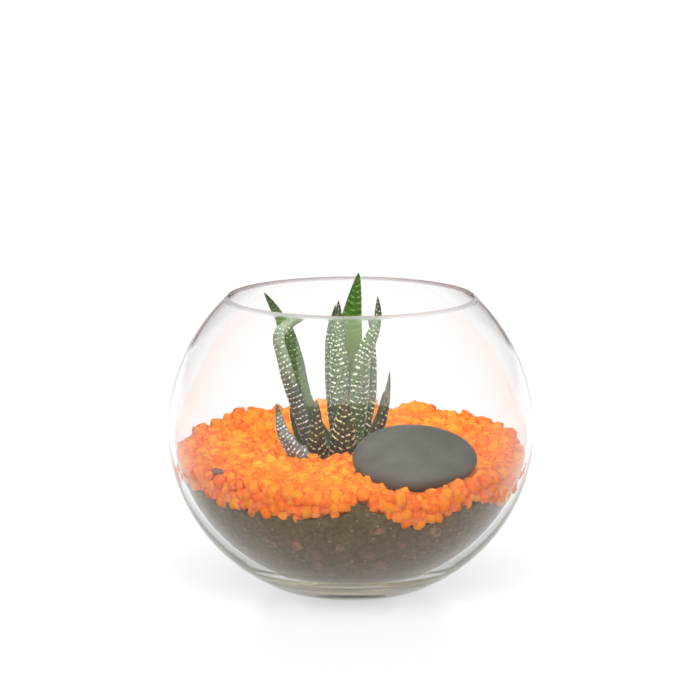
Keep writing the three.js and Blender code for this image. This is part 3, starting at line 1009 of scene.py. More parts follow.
@dataclass
class Gravel:
    """Thousands of grains of dyed gravel: a wall of them at the glass and layers on top.

    Places and steps without a unit are shares of a grain.
    """

    ground: Ground
    grain: float = 3.8 * MM
    spread: Range = (0.70, 1.22)
    kinds: int = 12
    roundness: Range = (0.5, 0.92)
    knocks: float = 0.12
    long: Range = (0.92, 1.2)
    low: Range = (0.68, 0.95)
    clearance: float = 0.55
    wall_gap: float = 0.45 * MM
    wall_pitch: float = 3.6 * MM
    wall_rows: float = 3.2 * MM
    wall_layers: int = 2
    wall_foot: float = 0.42
    wall_top: float = 0.1
    layer_step: float = 0.86
    overlap: float = 0.45
    loose_up: float = 0.2
    loose_in: float = 0.12
    loose_round: float = 0.24
    loose_flat: float = 0.22
    top_pitch: float = 3.85 * MM
    top_layers: int = 2
    top_sunk: float = 0.3
    layer_drop: float = 2.9 * MM
    perched: tuple[Spot, ...] = ((-15.0 * MM, -20.5 * MM), (-5.6 * MM, -20.8 * MM))
    perch: float = 0.4
    core_inset: float = 3.4 * MM
    core_drop: float = 3.2 * MM
    core_gap: float = 0.3 * MM
    core_least: float = 0.6 * MM
    core_rings: tuple[int, int] = (24, 6)
    core_sides: int = 144
    seed: int = 11
    obstacles: tuple[str, ...] = ("pebble", "stem_main", "stem_offset")
    dull_share: float = 0.3
    finish: DyedGravel = DyedGravel()
    dull_finish: DyedGravel = DyedGravel(
        name="soiled_gravel",
        deep=(0.76, 0.130, 0.020),
        middle=(0.88, 0.195, 0.036),
        bright=(0.95, 0.290, 0.060),
        dust=0.06,
    )

    def __post_init__(self) -> None:
        """Reads what the grains lie against, and models the grains."""
        self.draw = random.Random(self.seed)
        leaves = [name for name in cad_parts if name.startswith("leaf_")]
        self.solids = node_tree(*self.obstacles, *leaves)
        self.shapes = self.grain_shapes()

    def grain_shapes(self) -> list[Shape]:
        """Models the kinds of grain, each a rounded and broken lump of unit size.

        Returns:
            Their shapes, which differ from call to call.
        """
        shapes = []
        for kind in range(self.kinds):
            deselect_all()
            bpy.ops.mesh.primitive_cube_add(size=1)
            edit_all()
            bpy.ops.mesh.subdivide(number_cuts=1, smoothness=self.draw.uniform(*self.roundness))
            bpy.ops.transform.vertex_random(offset=self.knocks, uniform=1.0, seed=kind)
            stretch = (self.draw.uniform(*self.long), 1, self.draw.uniform(*self.low))
            bpy.ops.transform.resize(value=stretch)
            leave_edit()
            shapes.append(Shape.from_blank(bpy.context.object))
        return shapes

    def is_free(self, place: Vector) -> bool:
        """Whether a grain can lie at a place, clear of leaves, stems and pebble.

        Args:
            place: The grain's middle.

        Returns:
            True if nothing is in its way.
        """
        if self.solids.find_nearest(place)[3] < self.grain / 2 * self.clearance:
            return False
        crossings = 0
        start = place
        while (hit := self.solids.ray_cast(start, UP)[0]) is not None:
            crossings += 1
            start = hit + UP * WELD
        return crossings % 2 == 0

    def drop_grain(self, heap: Gathering, place: Vector, finish: int = 0) -> None:
        """Adds one grain at random size, turn and tint.

        Args:
            heap: The mesh that it joins.
            place: Its middle.
            finish: 0 for a clean grain, 1 for one that soil has dulled.
        """
        turn = Matrix.Rotation(self.draw.uniform(0, FULL_TURN), 4, Vector.Fill(3, 1.0))
        tip = Matrix.Rotation(self.draw.uniform(0, FULL_TURN), 4, "Z")
        size = self.grain * self.draw.uniform(*self.spread)
        shape = self.draw.choice(self.shapes)
        matrix = Matrix.Translation(place) @ tip @ turn @ Matrix.Scale(size, 4)
        heap.add(shape, matrix, self.draw.random(), finish)

    def jitter(self, share: float) -> float:
        """A random step of up to a share of a grain either way."""
        return self.draw.uniform(-share, share) * self.grain

    def inset(self, layer: float) -> float:
        """How far the middles of the grains of a layer at the glass lie off it."""
        return self.wall_gap + self.grain * (0.5 + self.layer_step * layer)

    def wall_grains(self) -> Gathering:
        """Stacks the grains that press against the glass, from the soil to the top.

        Returns:
            The grains.
        """
        heap = Gathering()
        edge = self.ground.edge
        for layer in range(self.wall_layers):
            inset = self.inset(layer)
            around = round(FULL_TURN * (edge - inset) / self.wall_pitch)
            for step in range(around):
                turn = FULL_TURN * (step + 0.5 * (layer % 2)) / around
                x, y = edge * math.cos(turn), edge * math.sin(turn)
                low, high = self.ground.soil_level(x, y), self.ground.gravel_level(x, y)
                level = low + self.grain * self.wall_foot + self.wall_rows * 0.5 * (step % 2)
                while level < high + self.grain * self.wall_top:
                    height = level + self.jitter(self.loose_up)
                    span = self.ground.bowl.room(height, inset) - abs(self.jitter(self.loose_in))
                    angle = turn + self.jitter(self.loose_round) / span
                    place = Vector((span * math.cos(angle), span * math.sin(angle), height))
                    if self.is_free(place):
                        is_dull = level < low + self.wall_rows and self.draw.random() < self.dull_share
                        self.drop_grain(heap, place, int(is_dull))
                    level += self.wall_rows
        return heap

    def layer_grains(self, layer: int) -> Gathering:
        """Spreads one layer of grains over the bed, inside those at the glass.

        Args:
            layer: 0 at the top.

        Returns:
            The grains.
        """
        heap = Gathering()
        bowl = self.ground.bowl
        row_gap = self.top_pitch * math.sqrt(3) / 2
        inset = self.inset(self.wall_layers - self.overlap)
        rows = math.ceil(bowl.cavity_radius / row_gap)
        columns = math.ceil(bowl.cavity_radius / self.top_pitch)
        for row in range(-rows, rows + 1):
            for column in range(-columns, columns + 1):
                x = (column + 0.5 * ((row + layer) % 2)) * self.top_pitch + self.jitter(self.loose_flat)
                y = row * row_gap + self.jitter(self.loose_flat)
                top = self.ground.gravel_level(x, y)
                if math.hypot(x, y) > bowl.room(top, inset):
                    continue
                middle = top - self.grain * self.top_sunk - layer * self.layer_drop
                height = middle + self.jitter(self.loose_up)
                place = Vector((x, y, height))
                if height > self.ground.soil_level(x, y) and self.is_free(place):
                    self.drop_grain(heap, place)
        return heap

    def core_bottom(self, x: float, y: float) -> float:
        """The height of the bed's underside over a place."""
        return self.ground.soil_level(x, y) + self.core_gap

    def core_top(self, x: float, y: float) -> float:
        """The height of the bed's top over a place, under the loose grains."""
        least = self.ground.soil_level(x, y) + self.core_least
        return max(self.ground.gravel_level(x, y) - self.core_drop, least)

    def build(self) -> None:
        """Pours the gravel."""
        paint, dull_paint = self.finish.paint(), self.dull_finish.paint()
        wall = self.wall_grains()
        layers = [self.layer_grains(layer) for layer in range(self.top_layers)]
        for x, y in self.perched:
            height = self.ground.gravel_level(x, y) + self.grain * self.perch
            self.drop_grain(layers[0], Vector((x, y, height)))
        at_glass = wall.mesh("gravel_at_glass")
        at_glass.data.materials.append(paint)
        at_glass.data.materials.append(dull_paint)
        hand_over(at_glass, "gravel", "gravel")
        for number, layer in enumerate(layers, 1):
            piece = layer.mesh(f"gravel_layer_{number}")
            piece.data.materials.append(paint)
            hand_over(piece, "gravel")
        core = self.ground.body(
            "gravel_bed", self.core_bottom, self.core_top, self.core_inset, self.core_rings, self.core_sides
        )
        # The bed stands for the buried grains; its tints stay 0, so it takes the deep tint all over, partly
        # painted shade for the gaps between the grains over it
        core.data.attributes.new("tint", "FLOAT", "POINT")
        core.data.materials.append(paint)
        hand_over(core, "gravel")


@dataclass
class StrayGrains:
    """Dusty grains of gravel between the soil and the glass, and a crumb of soil on the gravel.

    Each spot is a place to the right and a height in millimetres, and each crumb a place to
    the right and to the back.
    """

    gravel: Gravel
    spots: tuple[Spot, ...] = (
        (-31.9, 30.5),
        (-21.4, 30.5),
        (-4.4, 30.5),
        (6.9, 27.0),
        (19.8, 30.5),
        (-13.3, 26.4),
        (-1.6, 23.0),
        (-13.3, 21.4),
        (11.7, 22.4),
        (11.3, 37.4),
        (33.1, 35.6),
    )
    size: float = 3.8 * MM
    spread: Range = (0.7, 1.1)
    flat: float = 0.32
    sunk: float = 0.75 * MM
    crumbs: tuple[Spot, ...] = ((-53.8, -40.0), (-52.4, -40.8))
    crumb_size: float = 0.62
    crumb_lift: float = 2.2 * MM
    seed: int = 5
    finish: DyedGravel = DyedGravel(
        name="dusty_gravel",
        deep=(0.19, 0.085, 0.052),
        middle=(0.28, 0.122, 0.070),
        bright=(0.37, 0.190, 0.080),
        dust=0.28,
        dust_colour=(0.125, 0.088, 0.056),
    )
    earth: DampSoil = DampSoil(dark=(0.17, 0.085, 0.065), light=(0.27, 0.15, 0.12))

    def build(self) -> None:
        """Sets each grain against the glass and each crumb on the gravel."""
        draw = random.Random(self.seed)
        shapes = self.gravel.grain_shapes()
        ground = self.gravel.ground
        heap = Gathering()
        for across, height in self.spots:
            x, level = across * MM, height * MM
            room = ground.bowl.room(level, self.gravel.wall_gap + self.sunk)
            y = -math.sqrt(room**2 - x**2)
            flatten = Matrix.Scale(self.flat, 4, Vector((x, y, level - ground.bowl.widest_level)))
            turn = Matrix.Rotation(draw.uniform(0, FULL_TURN), 4, Vector.Fill(3, 1.0))
            size = Matrix.Scale(self.size * draw.uniform(*self.spread), 4)
            place = Matrix.Translation((x, y, level))
            heap.add(draw.choice(shapes), place @ flatten @ turn @ size, draw.random())
        for across, back in self.crumbs:
            x, y = across * MM, back * MM
            place = Matrix.Translation((x, y, ground.gravel_level(x, y) + self.crumb_lift))
            size = Matrix.Scale(self.size * self.crumb_size, 4)
            heap.add(draw.choice(shapes), place @ size, tint=0.0, finish=1)
        piece = heap.mesh("stray_grains")
        piece.data.materials.append(self.finish.paint())
        piece.data.materials.append(self.earth.paint())
        hand_over(piece, "gravel")


# ---- The pebble ----


@dataclass
class Pebble:
    """A flat oval pebble, pressed into the gravel with its front edge down."""

    centre: Point = (25.5 * MM, -33 * MM, 60.2 * MM)
    half_size: Point = (25 * MM, 18.5 * MM, 8.5 * MM)
    tilt: float = math.radians(30)
    heading: float = math.radians(-4)
    egg: float = 0.07
    segments: int = 72
    rings: int = 44
    wear: float = 14 * MM
    wear_height: float = 0.45 * MM
    wear_detail: int = 1
    finish: RiverStone = RiverStone()

    def build(self) -> None:
        """Rounds the pebble and lays it down."""
        deselect_all()
        bpy.ops.mesh.primitive_uv_sphere_add(segments=self.segments, ring_count=self.rings, radius=1)
        pebble = bpy.context.object
        pebble.name = "river_pebble"
        for vertex in pebble.data.vertices:
            taper = 1 - self.egg * vertex.co.x
            vertex.co.y *= taper
            vertex.co.z *= taper
        pebble.scale = self.half_size
        settle(pebble)
        roughen(pebble, self.wear, self.wear_height, self.wear_detail)
        turn = Matrix.Rotation(self.heading, 4, "Z") @ Matrix.Rotation(self.tilt, 4, "X")
        pebble.data.transform(Matrix.Translation(self.centre) @ turn)
        take_up(pebble)
        bpy.ops.object.shade_smooth()
        pebble.data.materials.append(self.finish.paint())
        hand_over(pebble, "pebble", "pebble")


# ---- The plant ----


def smooth_line(points: list[Vector], stations: int) -> list[Vector]:
    """A curve through points, cut into equal steps.

    Args:
        points: The points that it passes.
        stations: How many points come back.

    Returns:
        Points at equal distances along it.
    """
    parts = 32
    ends = [2 * points[0] - points[1], *points, 2 * points[-1] - points[-2]]
    fine = []
    for a, b, c, d in zip(ends, ends[1:], ends[2:], ends[3:]):
        before, here, after = (math.sqrt((q - p).length) for p, q in ((a, b), (b, c), (c, d)))
        leave = ((b - a) / before - (c - a) / (before + here) + (c - b) / here) * here
        arrive = ((c - b) / here - (d - b) / (here + after) + (d - c) / after) * here
        for t in (i / parts for i in range(parts)):
            between = b * (2 * t**3 - 3 * t**2 + 1) + c * (3 * t**2 - 2 * t**3)
            fine.append(between + leave * (t**3 - 2 * t**2 + t) + arrive * (t**3 - t**2))
    fine.append(points[-1])
    lengths = [0.0]
    for p, q in zip(fine, fine[1:]):
        lengths.append(lengths[-1] + (q - p).length)
    line = []
    k = 0
    for i in range(stations):
        goal = lengths[-1] * i / (stations - 1)
        while k < len(fine) - 2 and lengths[k + 1] < goal:
            k += 1
        share = (goal - lengths[k]) / (lengths[k + 1] - lengths[k])
        line.append(fine[k].lerp(fine[k + 1], share))
    return line


@dataclass
class LeafKit:
    """What all leaves share: the form of the blade, the rows of tubercles and the paints."""

    waist: float = 0.82
    taper: float = 0.68
    thinning: float = 0.9
    cup: float = 0.35
    hollow: float = 0.05
    hollow_dip: float = 0.8
    hollow_rise: float = 5.6
    least: float = 0.12 * MM
    sides: int = 32
    stations: int = 96
    row_pitch: float = 2.05 * MM
    closing: float = 0.35
    chevron: float = 0.55
    last_row: float = 0.985
    last_dot: float = 0.99
    row_margin: float = 0.03
    row_shift: float = 0.25
    outer_arc: float = 2.7
    inner_arc: float = 2.0
    inner_size: float = 0.6
    dot: Point = (0.58 * MM, 0.34 * MM, 0.36 * MM)
    dot_pitch: float = 1.5 * MM
    dot_sides: int = 7
    dot_rings: int = 4
    dot_cut: float = -0.05
    dot_slope: float = 0.35
    dot_sizes: Range = (0.65, 1.2)
    dot_lengths: Range = (0.75, 1.3)
    tip_size: float = 0.42
    tip_reach: float = 0.3
    missing: float = 0.08
    loose_turn: float = 0.11
    loose_row: float = 0.13
    feeler: float = 0.05
    sunk: float = 0.12 * MM
    outer_from: float = -0.01
    hub: float = 0.5
    seed: int = 23

    def __post_init__(self) -> None:
        """Models the blank and the tubercle, and mixes the paints."""
        self.draw = random.Random(self.seed)
        self.blank = self.blade_blank()
        self.dome = self.dot_shape()
        self.paints = {skin: (skin.value.paint(), skin.value.tubercle.paint()) for skin in Skin}

    def blade_blank(self) -> Piece:
        """Models the straight blank that every blade is wrapped from.

        Returns:
            A rod of radius 1 from 0 to 1 with a ring for each station.
        """
        deselect_all()
        bpy.ops.mesh.primitive_cylinder_add(
            vertices=self.sides, radius=1, depth=1, end_fill_type="TRIFAN", location=(0, 0, 0.5)
        )
        blank = bpy.context.object
        blank.name = "blade_blank"
        settle(blank)
        bpy.ops.object.mode_set(mode="EDIT")
        bpy.ops.mesh.select_mode(type="EDGE")
        bpy.ops.mesh.select_all(action="DESELECT")
        for edge in bmesh.from_edit_mesh(blank.data).edges:
            foot, head = edge.verts
            edge.select_set(foot.co.z != head.co.z)
        bmesh.update_edit_mesh(blank.data)
        bpy.ops.mesh.subdivide(number_cuts=self.stations - 2)
        leave_edit()
        return blank

    def dot_shape(self) -> Shape:
        """Models one tubercle, a low dome of unit size.

        Returns:
            Its shape.
        """
        deselect_all()
        bpy.ops.mesh.primitive_uv_sphere_add(segments=self.dot_sides, ring_count=self.dot_rings, radius=1)
        edit_all()
        bpy.ops.mesh.bisect(plane_co=(0, 0, self.dot_cut), plane_no=UP, use_fill=True, clear_inner=True)
        leave_edit()
        return Shape.from_blank(bpy.context.object)


@dataclass
class Leaf:
    """One pointed succulent leaf, flat inside and round outside, in millimetres and degrees."""

    node: str
    skin: Skin
    heading: float
    width: float
    thick: float
    full: float
    line: tuple[Point, ...]
    rows_inside_from: float = 2.0
    dot_size: float = 1.0
    row_stretch: float = 1.0

    def lay_out(self, kit: LeafKit) -> None:
        """Works out the line of the leaf and the directions along it.

        Args:
            kit: What all leaves share.
        """
        self.kit = kit
        self.spots = smooth_line([Vector(point) * MM for point in self.line], kit.stations)
        length = sum((q - p).length for p, q in zip(self.spots, self.spots[1:]))
        self.rows = length / (kit.row_pitch * self.row_stretch)
        turn = math.radians(self.heading)
        inward = Vector((-math.cos(turn), -math.sin(turn), kit.cup))
        self.axes = []
        for i in range(kit.stations):
            before, after = self.spots[max(i - 1, 0)], self.spots[min(i + 1, kit.stations - 1)]
            along = (after - before).normalized()
            sideways = along.cross(inward).normalized()
            self.axes.append((along, sideways, along.cross(sideways).normalized()))

    def at(self, share: float) -> tuple[Vector, Vector, Vector, Vector]:
        """The place and directions at a share of the length.

        Args:
            share: 0 at the foot to 1 at the tip.

        Returns:
            The point and the ways along, sideways and outward.
        """
        last = len(self.spots) - 1
        place = min(max(share, 0), 1) * last
        i = min(int(place), last - 1)
        rest = place - i
        ways = (p.lerp(q, rest).normalized() for p, q in zip(self.axes[i], self.axes[i + 1]))
        return (self.spots[i].lerp(self.spots[i + 1], rest), *ways)

    def spread(self, share: float) -> float:
        """The share of the full width at a share of the length.

        Args:
            share: 0 at the foot to 1 at the tip.

        Returns:
            1 where the leaf is widest.
        """
        waist = self.kit.waist
        if share < self.full:
            return waist + (1 - waist) * math.sin(share / self.full * math.pi)
        return waist * ((1 - share) / (1 - self.full)) ** self.kit.taper

    def section(self, share: float, turn: float) -> Spot:
        """A point of the cross section, which has a hollow between two low ridges inside.

        Args:
            share: Where along the leaf.
            turn: The angle round the section, 0 to pi over the outer side.

        Returns:
            How far sideways and how far outward it is.
        """
        kit = self.kit
        spread = self.spread(share)
        half = max(self.width * MM / 2 * spread, kit.least)
        deep = max(self.thick * MM * spread**kit.thinning, kit.least * 2)
        across, rise = math.cos(turn), math.sin(turn)
        if rise > 0:
            return half * across, deep * rise
        inside = (1 - abs(across)) * (kit.hollow_dip - kit.hollow_rise * abs(across))
        return half * across, deep * kit.hollow * inside

    def row_of(self, share: float) -> float:
        """The number of the row at a share of the length."""
        closing = self.kit.closing
        return self.rows * share * (1 + closing * share) / (1 + closing)

    def share_of(self, row: float) -> float:
        """The share of the length where a row lies, the inverse of row_of.

        Args:
            row: The row's number.

        Returns:
            0 at the foot to 1 at the tip.
        """
        closing = self.kit.closing
        bend = 4 * closing * (1 + closing) * row / self.rows
        return (math.sqrt(1 + bend) - 1) / (2 * closing)

    def blade(self) -> Piece:
        """Wraps a copy of the blank round the leaf's line.

        Returns:
            The blade, with numbers for its finish.
        """
        kit = self.kit
        blade = kit.blank.copy()
        blade.data = kit.blank.data.copy()
        blade.name = self.node.replace("leaf", "blade")
        bpy.context.scene.collection.objects.link(blade)
        shares, rows, outers = [], [], []
        for vertex in blade.data.vertices:
            x, y, share = vertex.co
            turn = math.atan2(y, x)
            place, _, sideways, outward = self.at(share)
            across, deep = self.section(share, turn)
            if math.hypot(x, y) < kit.hub:
                across, deep = 0.0, self.section(share, math.pi / 2)[1] / 2
            vertex.co = place + sideways * across + outward * deep
            shares.append(share)
            rows.append(self.row_of(share) - kit.chevron * abs(math.cos(turn)))
            outers.append(float(math.sin(turn) > kit.outer_from or share > self.rows_inside_from))
        for name, values in (("share", shares), ("row", rows), ("outer", outers)):
            blade.data.attributes.new(name, "FLOAT", "POINT").data.foreach_set("value", values)
        return blade

    def dots(self) -> Gathering:
        """Sets the tubercles in rows across the leaf.

        Returns:
            All the tubercles.
        """
        heap = Gathering()
        for row in range(1, int(self.row_of(1)) + 1):
            share = self.share_of(row)
            if share > self.kit.last_row:
                break
            self.row_of_dots(heap, row, 1)
            if share > self.rows_inside_from:
                self.row_of_dots(heap, row, -1)
        return heap

    def row_of_dots(self, heap: Gathering, row: int, side: int) -> None:
        """Sets one row of tubercles.

        Args:
            heap: The mesh that they join.
            row: The row's number.
            side: 1 on the outer side, -1 on the inner.
        """
        kit, draw = self.kit, self.kit.draw
        arc, scale = (kit.outer_arc, 1.0) if side > 0 else (kit.inner_arc, kit.inner_size)
        half = self.width * MM / 2 * self.spread(self.share_of(row))
        count = max(1, round(half * arc / kit.dot_pitch))
        shift = kit.row_shift if row % 2 else -kit.row_shift
        for k in range(count):
            step = kit.row_margin + (1 - 2 * kit.row_margin) * (k + 0.5 + shift) / count
            turn = side * math.pi * step + draw.uniform(-kit.loose_turn, kit.loose_turn)
            slant = kit.chevron * abs(math.cos(turn)) + draw.uniform(-kit.loose_row, kit.loose_row)
            spot = self.share_of(row + slant)
            if spot > kit.last_dot or draw.random() < kit.missing:
                continue
            fade = kit.tip_size + (1 - kit.tip_size) * min(1.0, (1 - spot) / kit.tip_reach)
            size = self.dot_size * scale * fade * draw.uniform(*kit.dot_sizes)
            long, short, high = (size * part for part in kit.dot)
            long *= draw.uniform(*kit.dot_lengths)
            matrix = self.dot_place(spot, turn) @ Matrix.Diagonal((long, short, high, 1))
            heap.add(kit.dome, matrix, draw.random())

    def dot_place(self, spot: float, turn: float) -> Matrix:
        """The place of a tubercle on the skin, with its length along the row.

        Args:
            spot: The share of the leaf's length.
            turn: The angle round the section.

        Returns:
            Where the tubercle goes, with its top out of the skin.
        """
        place, along, sideways, outward = self.at(spot)
        across, deep = self.section(spot, turn)
        ahead = self.section(spot, turn + self.kit.feeler)
        round_way = sideways * (ahead[0] - across) + outward * (ahead[1] - deep)
        normal = round_way.cross(along).normalized()
        middle = self.section(spot, math.pi / 2)[1] / 2
        if normal.dot(sideways * across + outward * (deep - middle)) < 0:
            normal = -normal
        way = along.cross(normal).normalized()
        slope = along * self.kit.dot_slope * (1 if across > 0 else -1)
        run = way * (1 if way.dot(sideways) > 0 else -1) + slope
        run = (run - normal * run.dot(normal)).normalized()
        seat = place + sideways * across + outward * deep - normal * self.kit.sunk
        ways = Matrix((run, normal.cross(run), normal)).transposed()
        return Matrix.Translation(seat) @ ways.to_4x4()

    def build(self, kit: LeafKit) -> None:
        """Makes the leaf.

        Args:
            kit: What all leaves share.
        """
        self.lay_out(kit)
        blade = self.blade()
        dots = self.dots().mesh("dots")
        for piece, paint in zip((blade, dots), kit.paints[self.skin]):
            piece.data.materials.append(paint)
        take_up(blade)
        edit_all()
        bpy.ops.mesh.normals_make_consistent(inside=False)
        leave_edit()
        bpy.ops.object.shade_smooth()
        dots.select_set(True)
        bpy.ops.object.join()
        hand_over(blade, "leaf", self.node)


@dataclass
class Stem:
    """A short stem, which carries the leaves and stands in the soil."""

    node: str
    x: float
    y: float
    top: float
    neck: float = 3.4 * MM
    neck_length: float = 7 * MM
    shoulder: float = 2.6 * MM
    shoulder_length: float = 3 * MM
    taper_length: float = 4 * MM
    crown: float = 0.8 * MM
    root: float = 2.0 * MM
    root_level: float = 36 * MM
    root_point: float = 1.5 * MM
    scars: int = 5
    scar: float = 0.18 * MM
    sides: int = 28
    finish: StemBark = StemBark()

    def build(self) -> None:
        """Turns the stem with the scars of its shed leaves."""
        shoulder = self.top - self.neck_length
        waist = shoulder - self.shoulder_length
        outline = [(0, self.root_level - self.root_point), (self.root, self.root_level)]
        outline += [(self.root, waist - self.taper_length), (self.shoulder, waist), (self.neck, shoulder)]
        for i in range(self.scars):
            level = shoulder + self.neck_length * (i + 0.5) / self.scars
            outline += [(self.neck - self.scar, level), (self.neck, level + self.scar * 2)]
        outline += [(self.neck, self.top), (0, self.top + self.crown)]
        stem = spin_outline(self.node.replace("stem", "stalk"), outline, self.sides)
        stem.data.transform(Matrix.Translation((self.x, self.y, 0)))
        stem.data.materials.append(self.finish.paint())
        hand_over(stem, "stem", self.node)


@dataclass
class Haworthia:
    """A zebra haworthia with a main rosette and an offset beside it.

    Each leaf has its heading, width, thickness, the share of its length that is full, and the
    points of its line from foot to tip.
    """

    stems: tuple[Stem, ...] = (
        Stem("stem_main", -1.5 * MM, 0.5 * MM, 61 * MM),
        Stem("stem_offset", -13.5 * MM, -3.5 * MM, 59.5 * MM),
    )
    leaves: tuple[Leaf, ...] = (
        Leaf("leaf_tall", Skin.BRIGHT, 75, 13, 4, 0.64,
             ((-1.2, 2.4, 58), (-1.6, 5.6, 82), (-0.6, 7.2, 104), (3.2, 6, 130.2)),
             rows_inside_from=0.62, dot_size=0.85, row_stretch=1.45),
        Leaf("leaf_left", Skin.GREEN, -112, 8.2, 4.2, 0.7,
             ((-2.6, -1.6, 58), (-4.4, -4, 80), (-4.9, -4.4, 101), (-5.1, -2.8, 120))),
        Leaf("leaf_right", Skin.GREEN, -40, 10.4, 4.2, 0.65,
             ((0.4, -0.4, 58), (2.4, -2.6, 78), (3.8, -3.6, 94), (8.8, -2.2, 105.5),
              (10.6, 0, 112), (10.9, 1, 121))),
        Leaf("leaf_left_back", Skin.GREEN, 165, 7.8, 4, 0.7,
             ((-4, 1.6, 57), (-6.4, 1.8, 80), (-7.4, 2, 102), (-6.2, 1.6, 117.4))),
        Leaf("leaf_back_tall", Skin.BRIGHT, 95, 8.4, 4, 0.5,
             ((-2, 4.5, 56.5), (-4, 11.4, 74), (-5, 14.6, 92), (-3.5, 14, 106))),
        Leaf("leaf_right_curled", Skin.GREEN, 15, 7.6, 3.8, 0.6,
             ((2.2, 1.6, 56.5), (6.6, 4.6, 78), (7.6, 5.8, 97), (7.4, 5.4, 107.5), (3.2, 4, 113))),
        Leaf("leaf_front", Skin.OLIVE, -92, 13, 5, 0.3,
             ((-2.2, -3.4, 55.5), (-3, -9.6, 62), (-2.8, -12.8, 72), (-1.8, -12.8, 84.4)),
             dot_size=1.15, row_stretch=1.2),
        Leaf("leaf_right_low", Skin.OLIVE, -25, 9, 4.6, 0.3,
             ((1.8, -0.6, 55.5), (7.8, -3, 62), (12.6, -4, 74), (15.8, -4, 90))),
        Leaf("leaf_back_right", Skin.GREEN, 42, 9, 4.4, 0.25,
             ((1, 2.6, 55), (7.4, 9, 61), (11.4, 13.4, 68), (13.6, 16, 78.5))),
        Leaf("leaf_back", Skin.GREEN, 92, 9.4, 4.6, 0.25,
             ((-2, 4, 54), (-2.6, 13.6, 60.5), (-3, 19.6, 68.5), (-2.6, 22.2, 78.5))),
        Leaf("leaf_back_left", Skin.GREEN, 138, 9, 4.4, 0.25,
             ((-4, 3, 54.5), (-10, 9.4, 61), (-14.6, 14, 68.5), (-16.6, 16.6, 77))),
        Leaf("leaf_offset_long", Skin.GREEN, 125, 8.6, 4, 0.72,
             ((-14.6, -3.2, 57), (-20.2, -2.6, 82), (-25.4, -1, 102), (-30, 0.6, 114),
              (-35.4, 2, 122.5)), rows_inside_from=0.3),
        Leaf("leaf_offset_curled", Skin.PALE, -150, 8.8, 4, 0.74,
             ((-14.4, -5, 56.5), (-20.8, -9.2, 78), (-26.8, -11.6, 97),
              (-28.6, -11.4, 106), (-24.4, -10.4, 110.8), (-17.4, -9, 113))),
        Leaf("leaf_offset_front", Skin.OLIVE, -84, 10, 4.6, 0.3,
             ((-13.6, -6, 55.5), (-14, -11.4, 61), (-14, -14, 70), (-14, -14, 81)),
             dot_size=1.1, row_stretch=1.2),
        Leaf("leaf_offset_low", Skin.GREY, -122, 10.6, 5.2, 0.3,
             ((-15.4, -5.4, 55), (-22, -10.8, 59.6), (-27.2, -13, 67), (-30.3, -13.4, 79)),
             dot_size=1.08, row_stretch=0.8),
        Leaf("leaf_offset_back", Skin.GREEN, 118, 8.4, 4.2, 0.3,
             ((-14.8, -1.4, 55.5), (-19.6, 4.4, 61.5), (-23, 8, 70), (-24.4, 9.4, 80.5))),
    )

    def build(self) -> None:
        """Grows the plant."""
        for stem in self.stems:
            stem.build()
        kit = LeafKit()
        for leaf in self.leaves:
            leaf.build(kit)
        bpy.data.objects.remove(kit.blank, do_unlink=True)


# ---- The studio ----


def stand(thing: Piece, place: Point, target: Point) -> None:
    """Stands a light or a camera at a place, looking at a point.

    Args:
        thing: The light or camera.
        place: Where it stands.
        target: What it looks at.
    """
    thing.location = place
    thing.rotation_euler = (Vector(target) - Vector(place)).to_track_quat("-Z", "Y").to_euler()
    bpy.context.scene.collection.objects.link(thing)


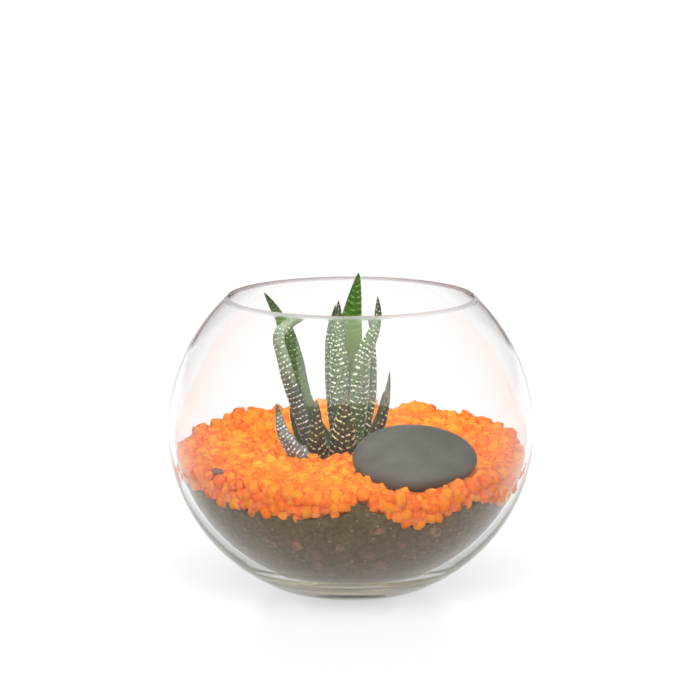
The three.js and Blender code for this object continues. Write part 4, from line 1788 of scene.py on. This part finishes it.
@dataclass
class Studio:
    """A white table in a bright room, with one softbox and the camera a little over the bowl."""

    floor_size: float = 24.0
    floor_drop: float = 0.2 * MM
    floor_colour: Colour = (0.25, 0.25, 0.25)
    floor_roughness: float = 0.2
    floor_gloss: float = 0.3
    floor_glow: float = 0.58
    foot_shade: Range = (19 * MM, 27 * MM)
    white: Colour = (1.0, 1.0, 1.0)
    sky_strength: float = 0.7
    window: Point = (0, -0.955, 0.295)
    window_strength: float = 1.5
    window_edge: Range = (0.60, 0.98)
    softbox_place: Point = (0.0, -1.08, 1.55)
    softbox_target: Point = (0, 0, 0.08)
    softbox_size: Range = (2.2, 2.0)
    softbox_power: float = 66.0
    light_passes: int = 128
    camera_place: Point = (0, -2.0, 0.447)
    camera_target: Point = (-0.0004, 0, 0.099)
    camera_lens: float = 255.0

    def lay_floor(self) -> None:
        """Lays the white table, which glows but for the shade under the foot."""
        deselect_all()
        bpy.ops.mesh.primitive_plane_add(size=self.floor_size, location=(0, 0, -self.floor_drop))
        floor = bpy.context.object
        floor.name = "studio_floor"
        settle(floor)
        paint = Paint("white_table")
        away = paint.maths("LENGTH", paint.place, kind="VectorMath")
        glow = paint.times(paint.mask(away, self.foot_shade), self.floor_glow)
        paint.set(Emission_Color=self.white, Emission_Strength=glow)
        paint.set(Base_Color=self.floor_colour, Roughness=self.floor_roughness)
        paint.set(Specular_IOR_Level=self.floor_gloss)
        floor.data.materials.append(paint.material)

    def light_room(self) -> None:
        """Fills the room with white light, stronger from a wide low window in front."""
        world = bpy.data.worlds.new("white_room")
        world.use_nodes = True
        room = Nodes(world.node_tree, "Generated")
        towards = room.maths("DOT_PRODUCT", room.place, self.window, kind="VectorMath")
        strengths = (self.sky_strength, self.sky_strength + self.window_strength)
        brightness = room.mask(towards, self.window_edge, strengths)
        room.fill(world.node_tree.nodes["Background"], Color=self.white, Strength=brightness)
        scene = bpy.context.scene
        scene.world = world
        scene.view_settings.view_transform = "Standard"
        scene.cycles.max_bounces = self.light_passes
        scene.cycles.glossy_bounces = self.light_passes
        scene.cycles.transmission_bounces = self.light_passes

    def hang_softbox(self) -> None:
        """Hangs the softbox, out of the camera's sight."""
        lamp = bpy.data.lights.new("front_softbox", "AREA")
        lamp.shape = "RECTANGLE"
        lamp.size, lamp.size_y = self.softbox_size
        lamp.energy = self.softbox_power
        light = bpy.data.objects.new("front_softbox", lamp)
        light.visible_camera = False
        stand(light, self.softbox_place, self.softbox_target)

    def set_camera(self) -> None:
        """Sets the camera at the photograph's angle."""
        data = bpy.data.cameras.new("camera")
        data.lens = self.camera_lens
        camera = bpy.data.objects.new("camera", data)
        stand(camera, self.camera_place, self.camera_target)
        bpy.context.scene.camera = camera

    def build(self) -> None:
        """Sets up camera, floor and lights."""
        self.set_camera()
        self.lay_floor()
        self.light_room()
        self.hang_softbox()


def main() -> None:
    """Builds the terrarium piece by piece."""
    logging.basicConfig(level=logging.INFO, format="%(name)s: %(message)s")
    Studio().build()
    bowl = GlassBowl()
    bowl.build()
    ground = Ground(bowl)
    Soil(ground).build()
    gravel = Gravel(ground)
    gravel.build()
    StrayGrains(gravel).build()
    Pebble().build()
    Haworthia().build()


if __name__ == "__main__":
    main()
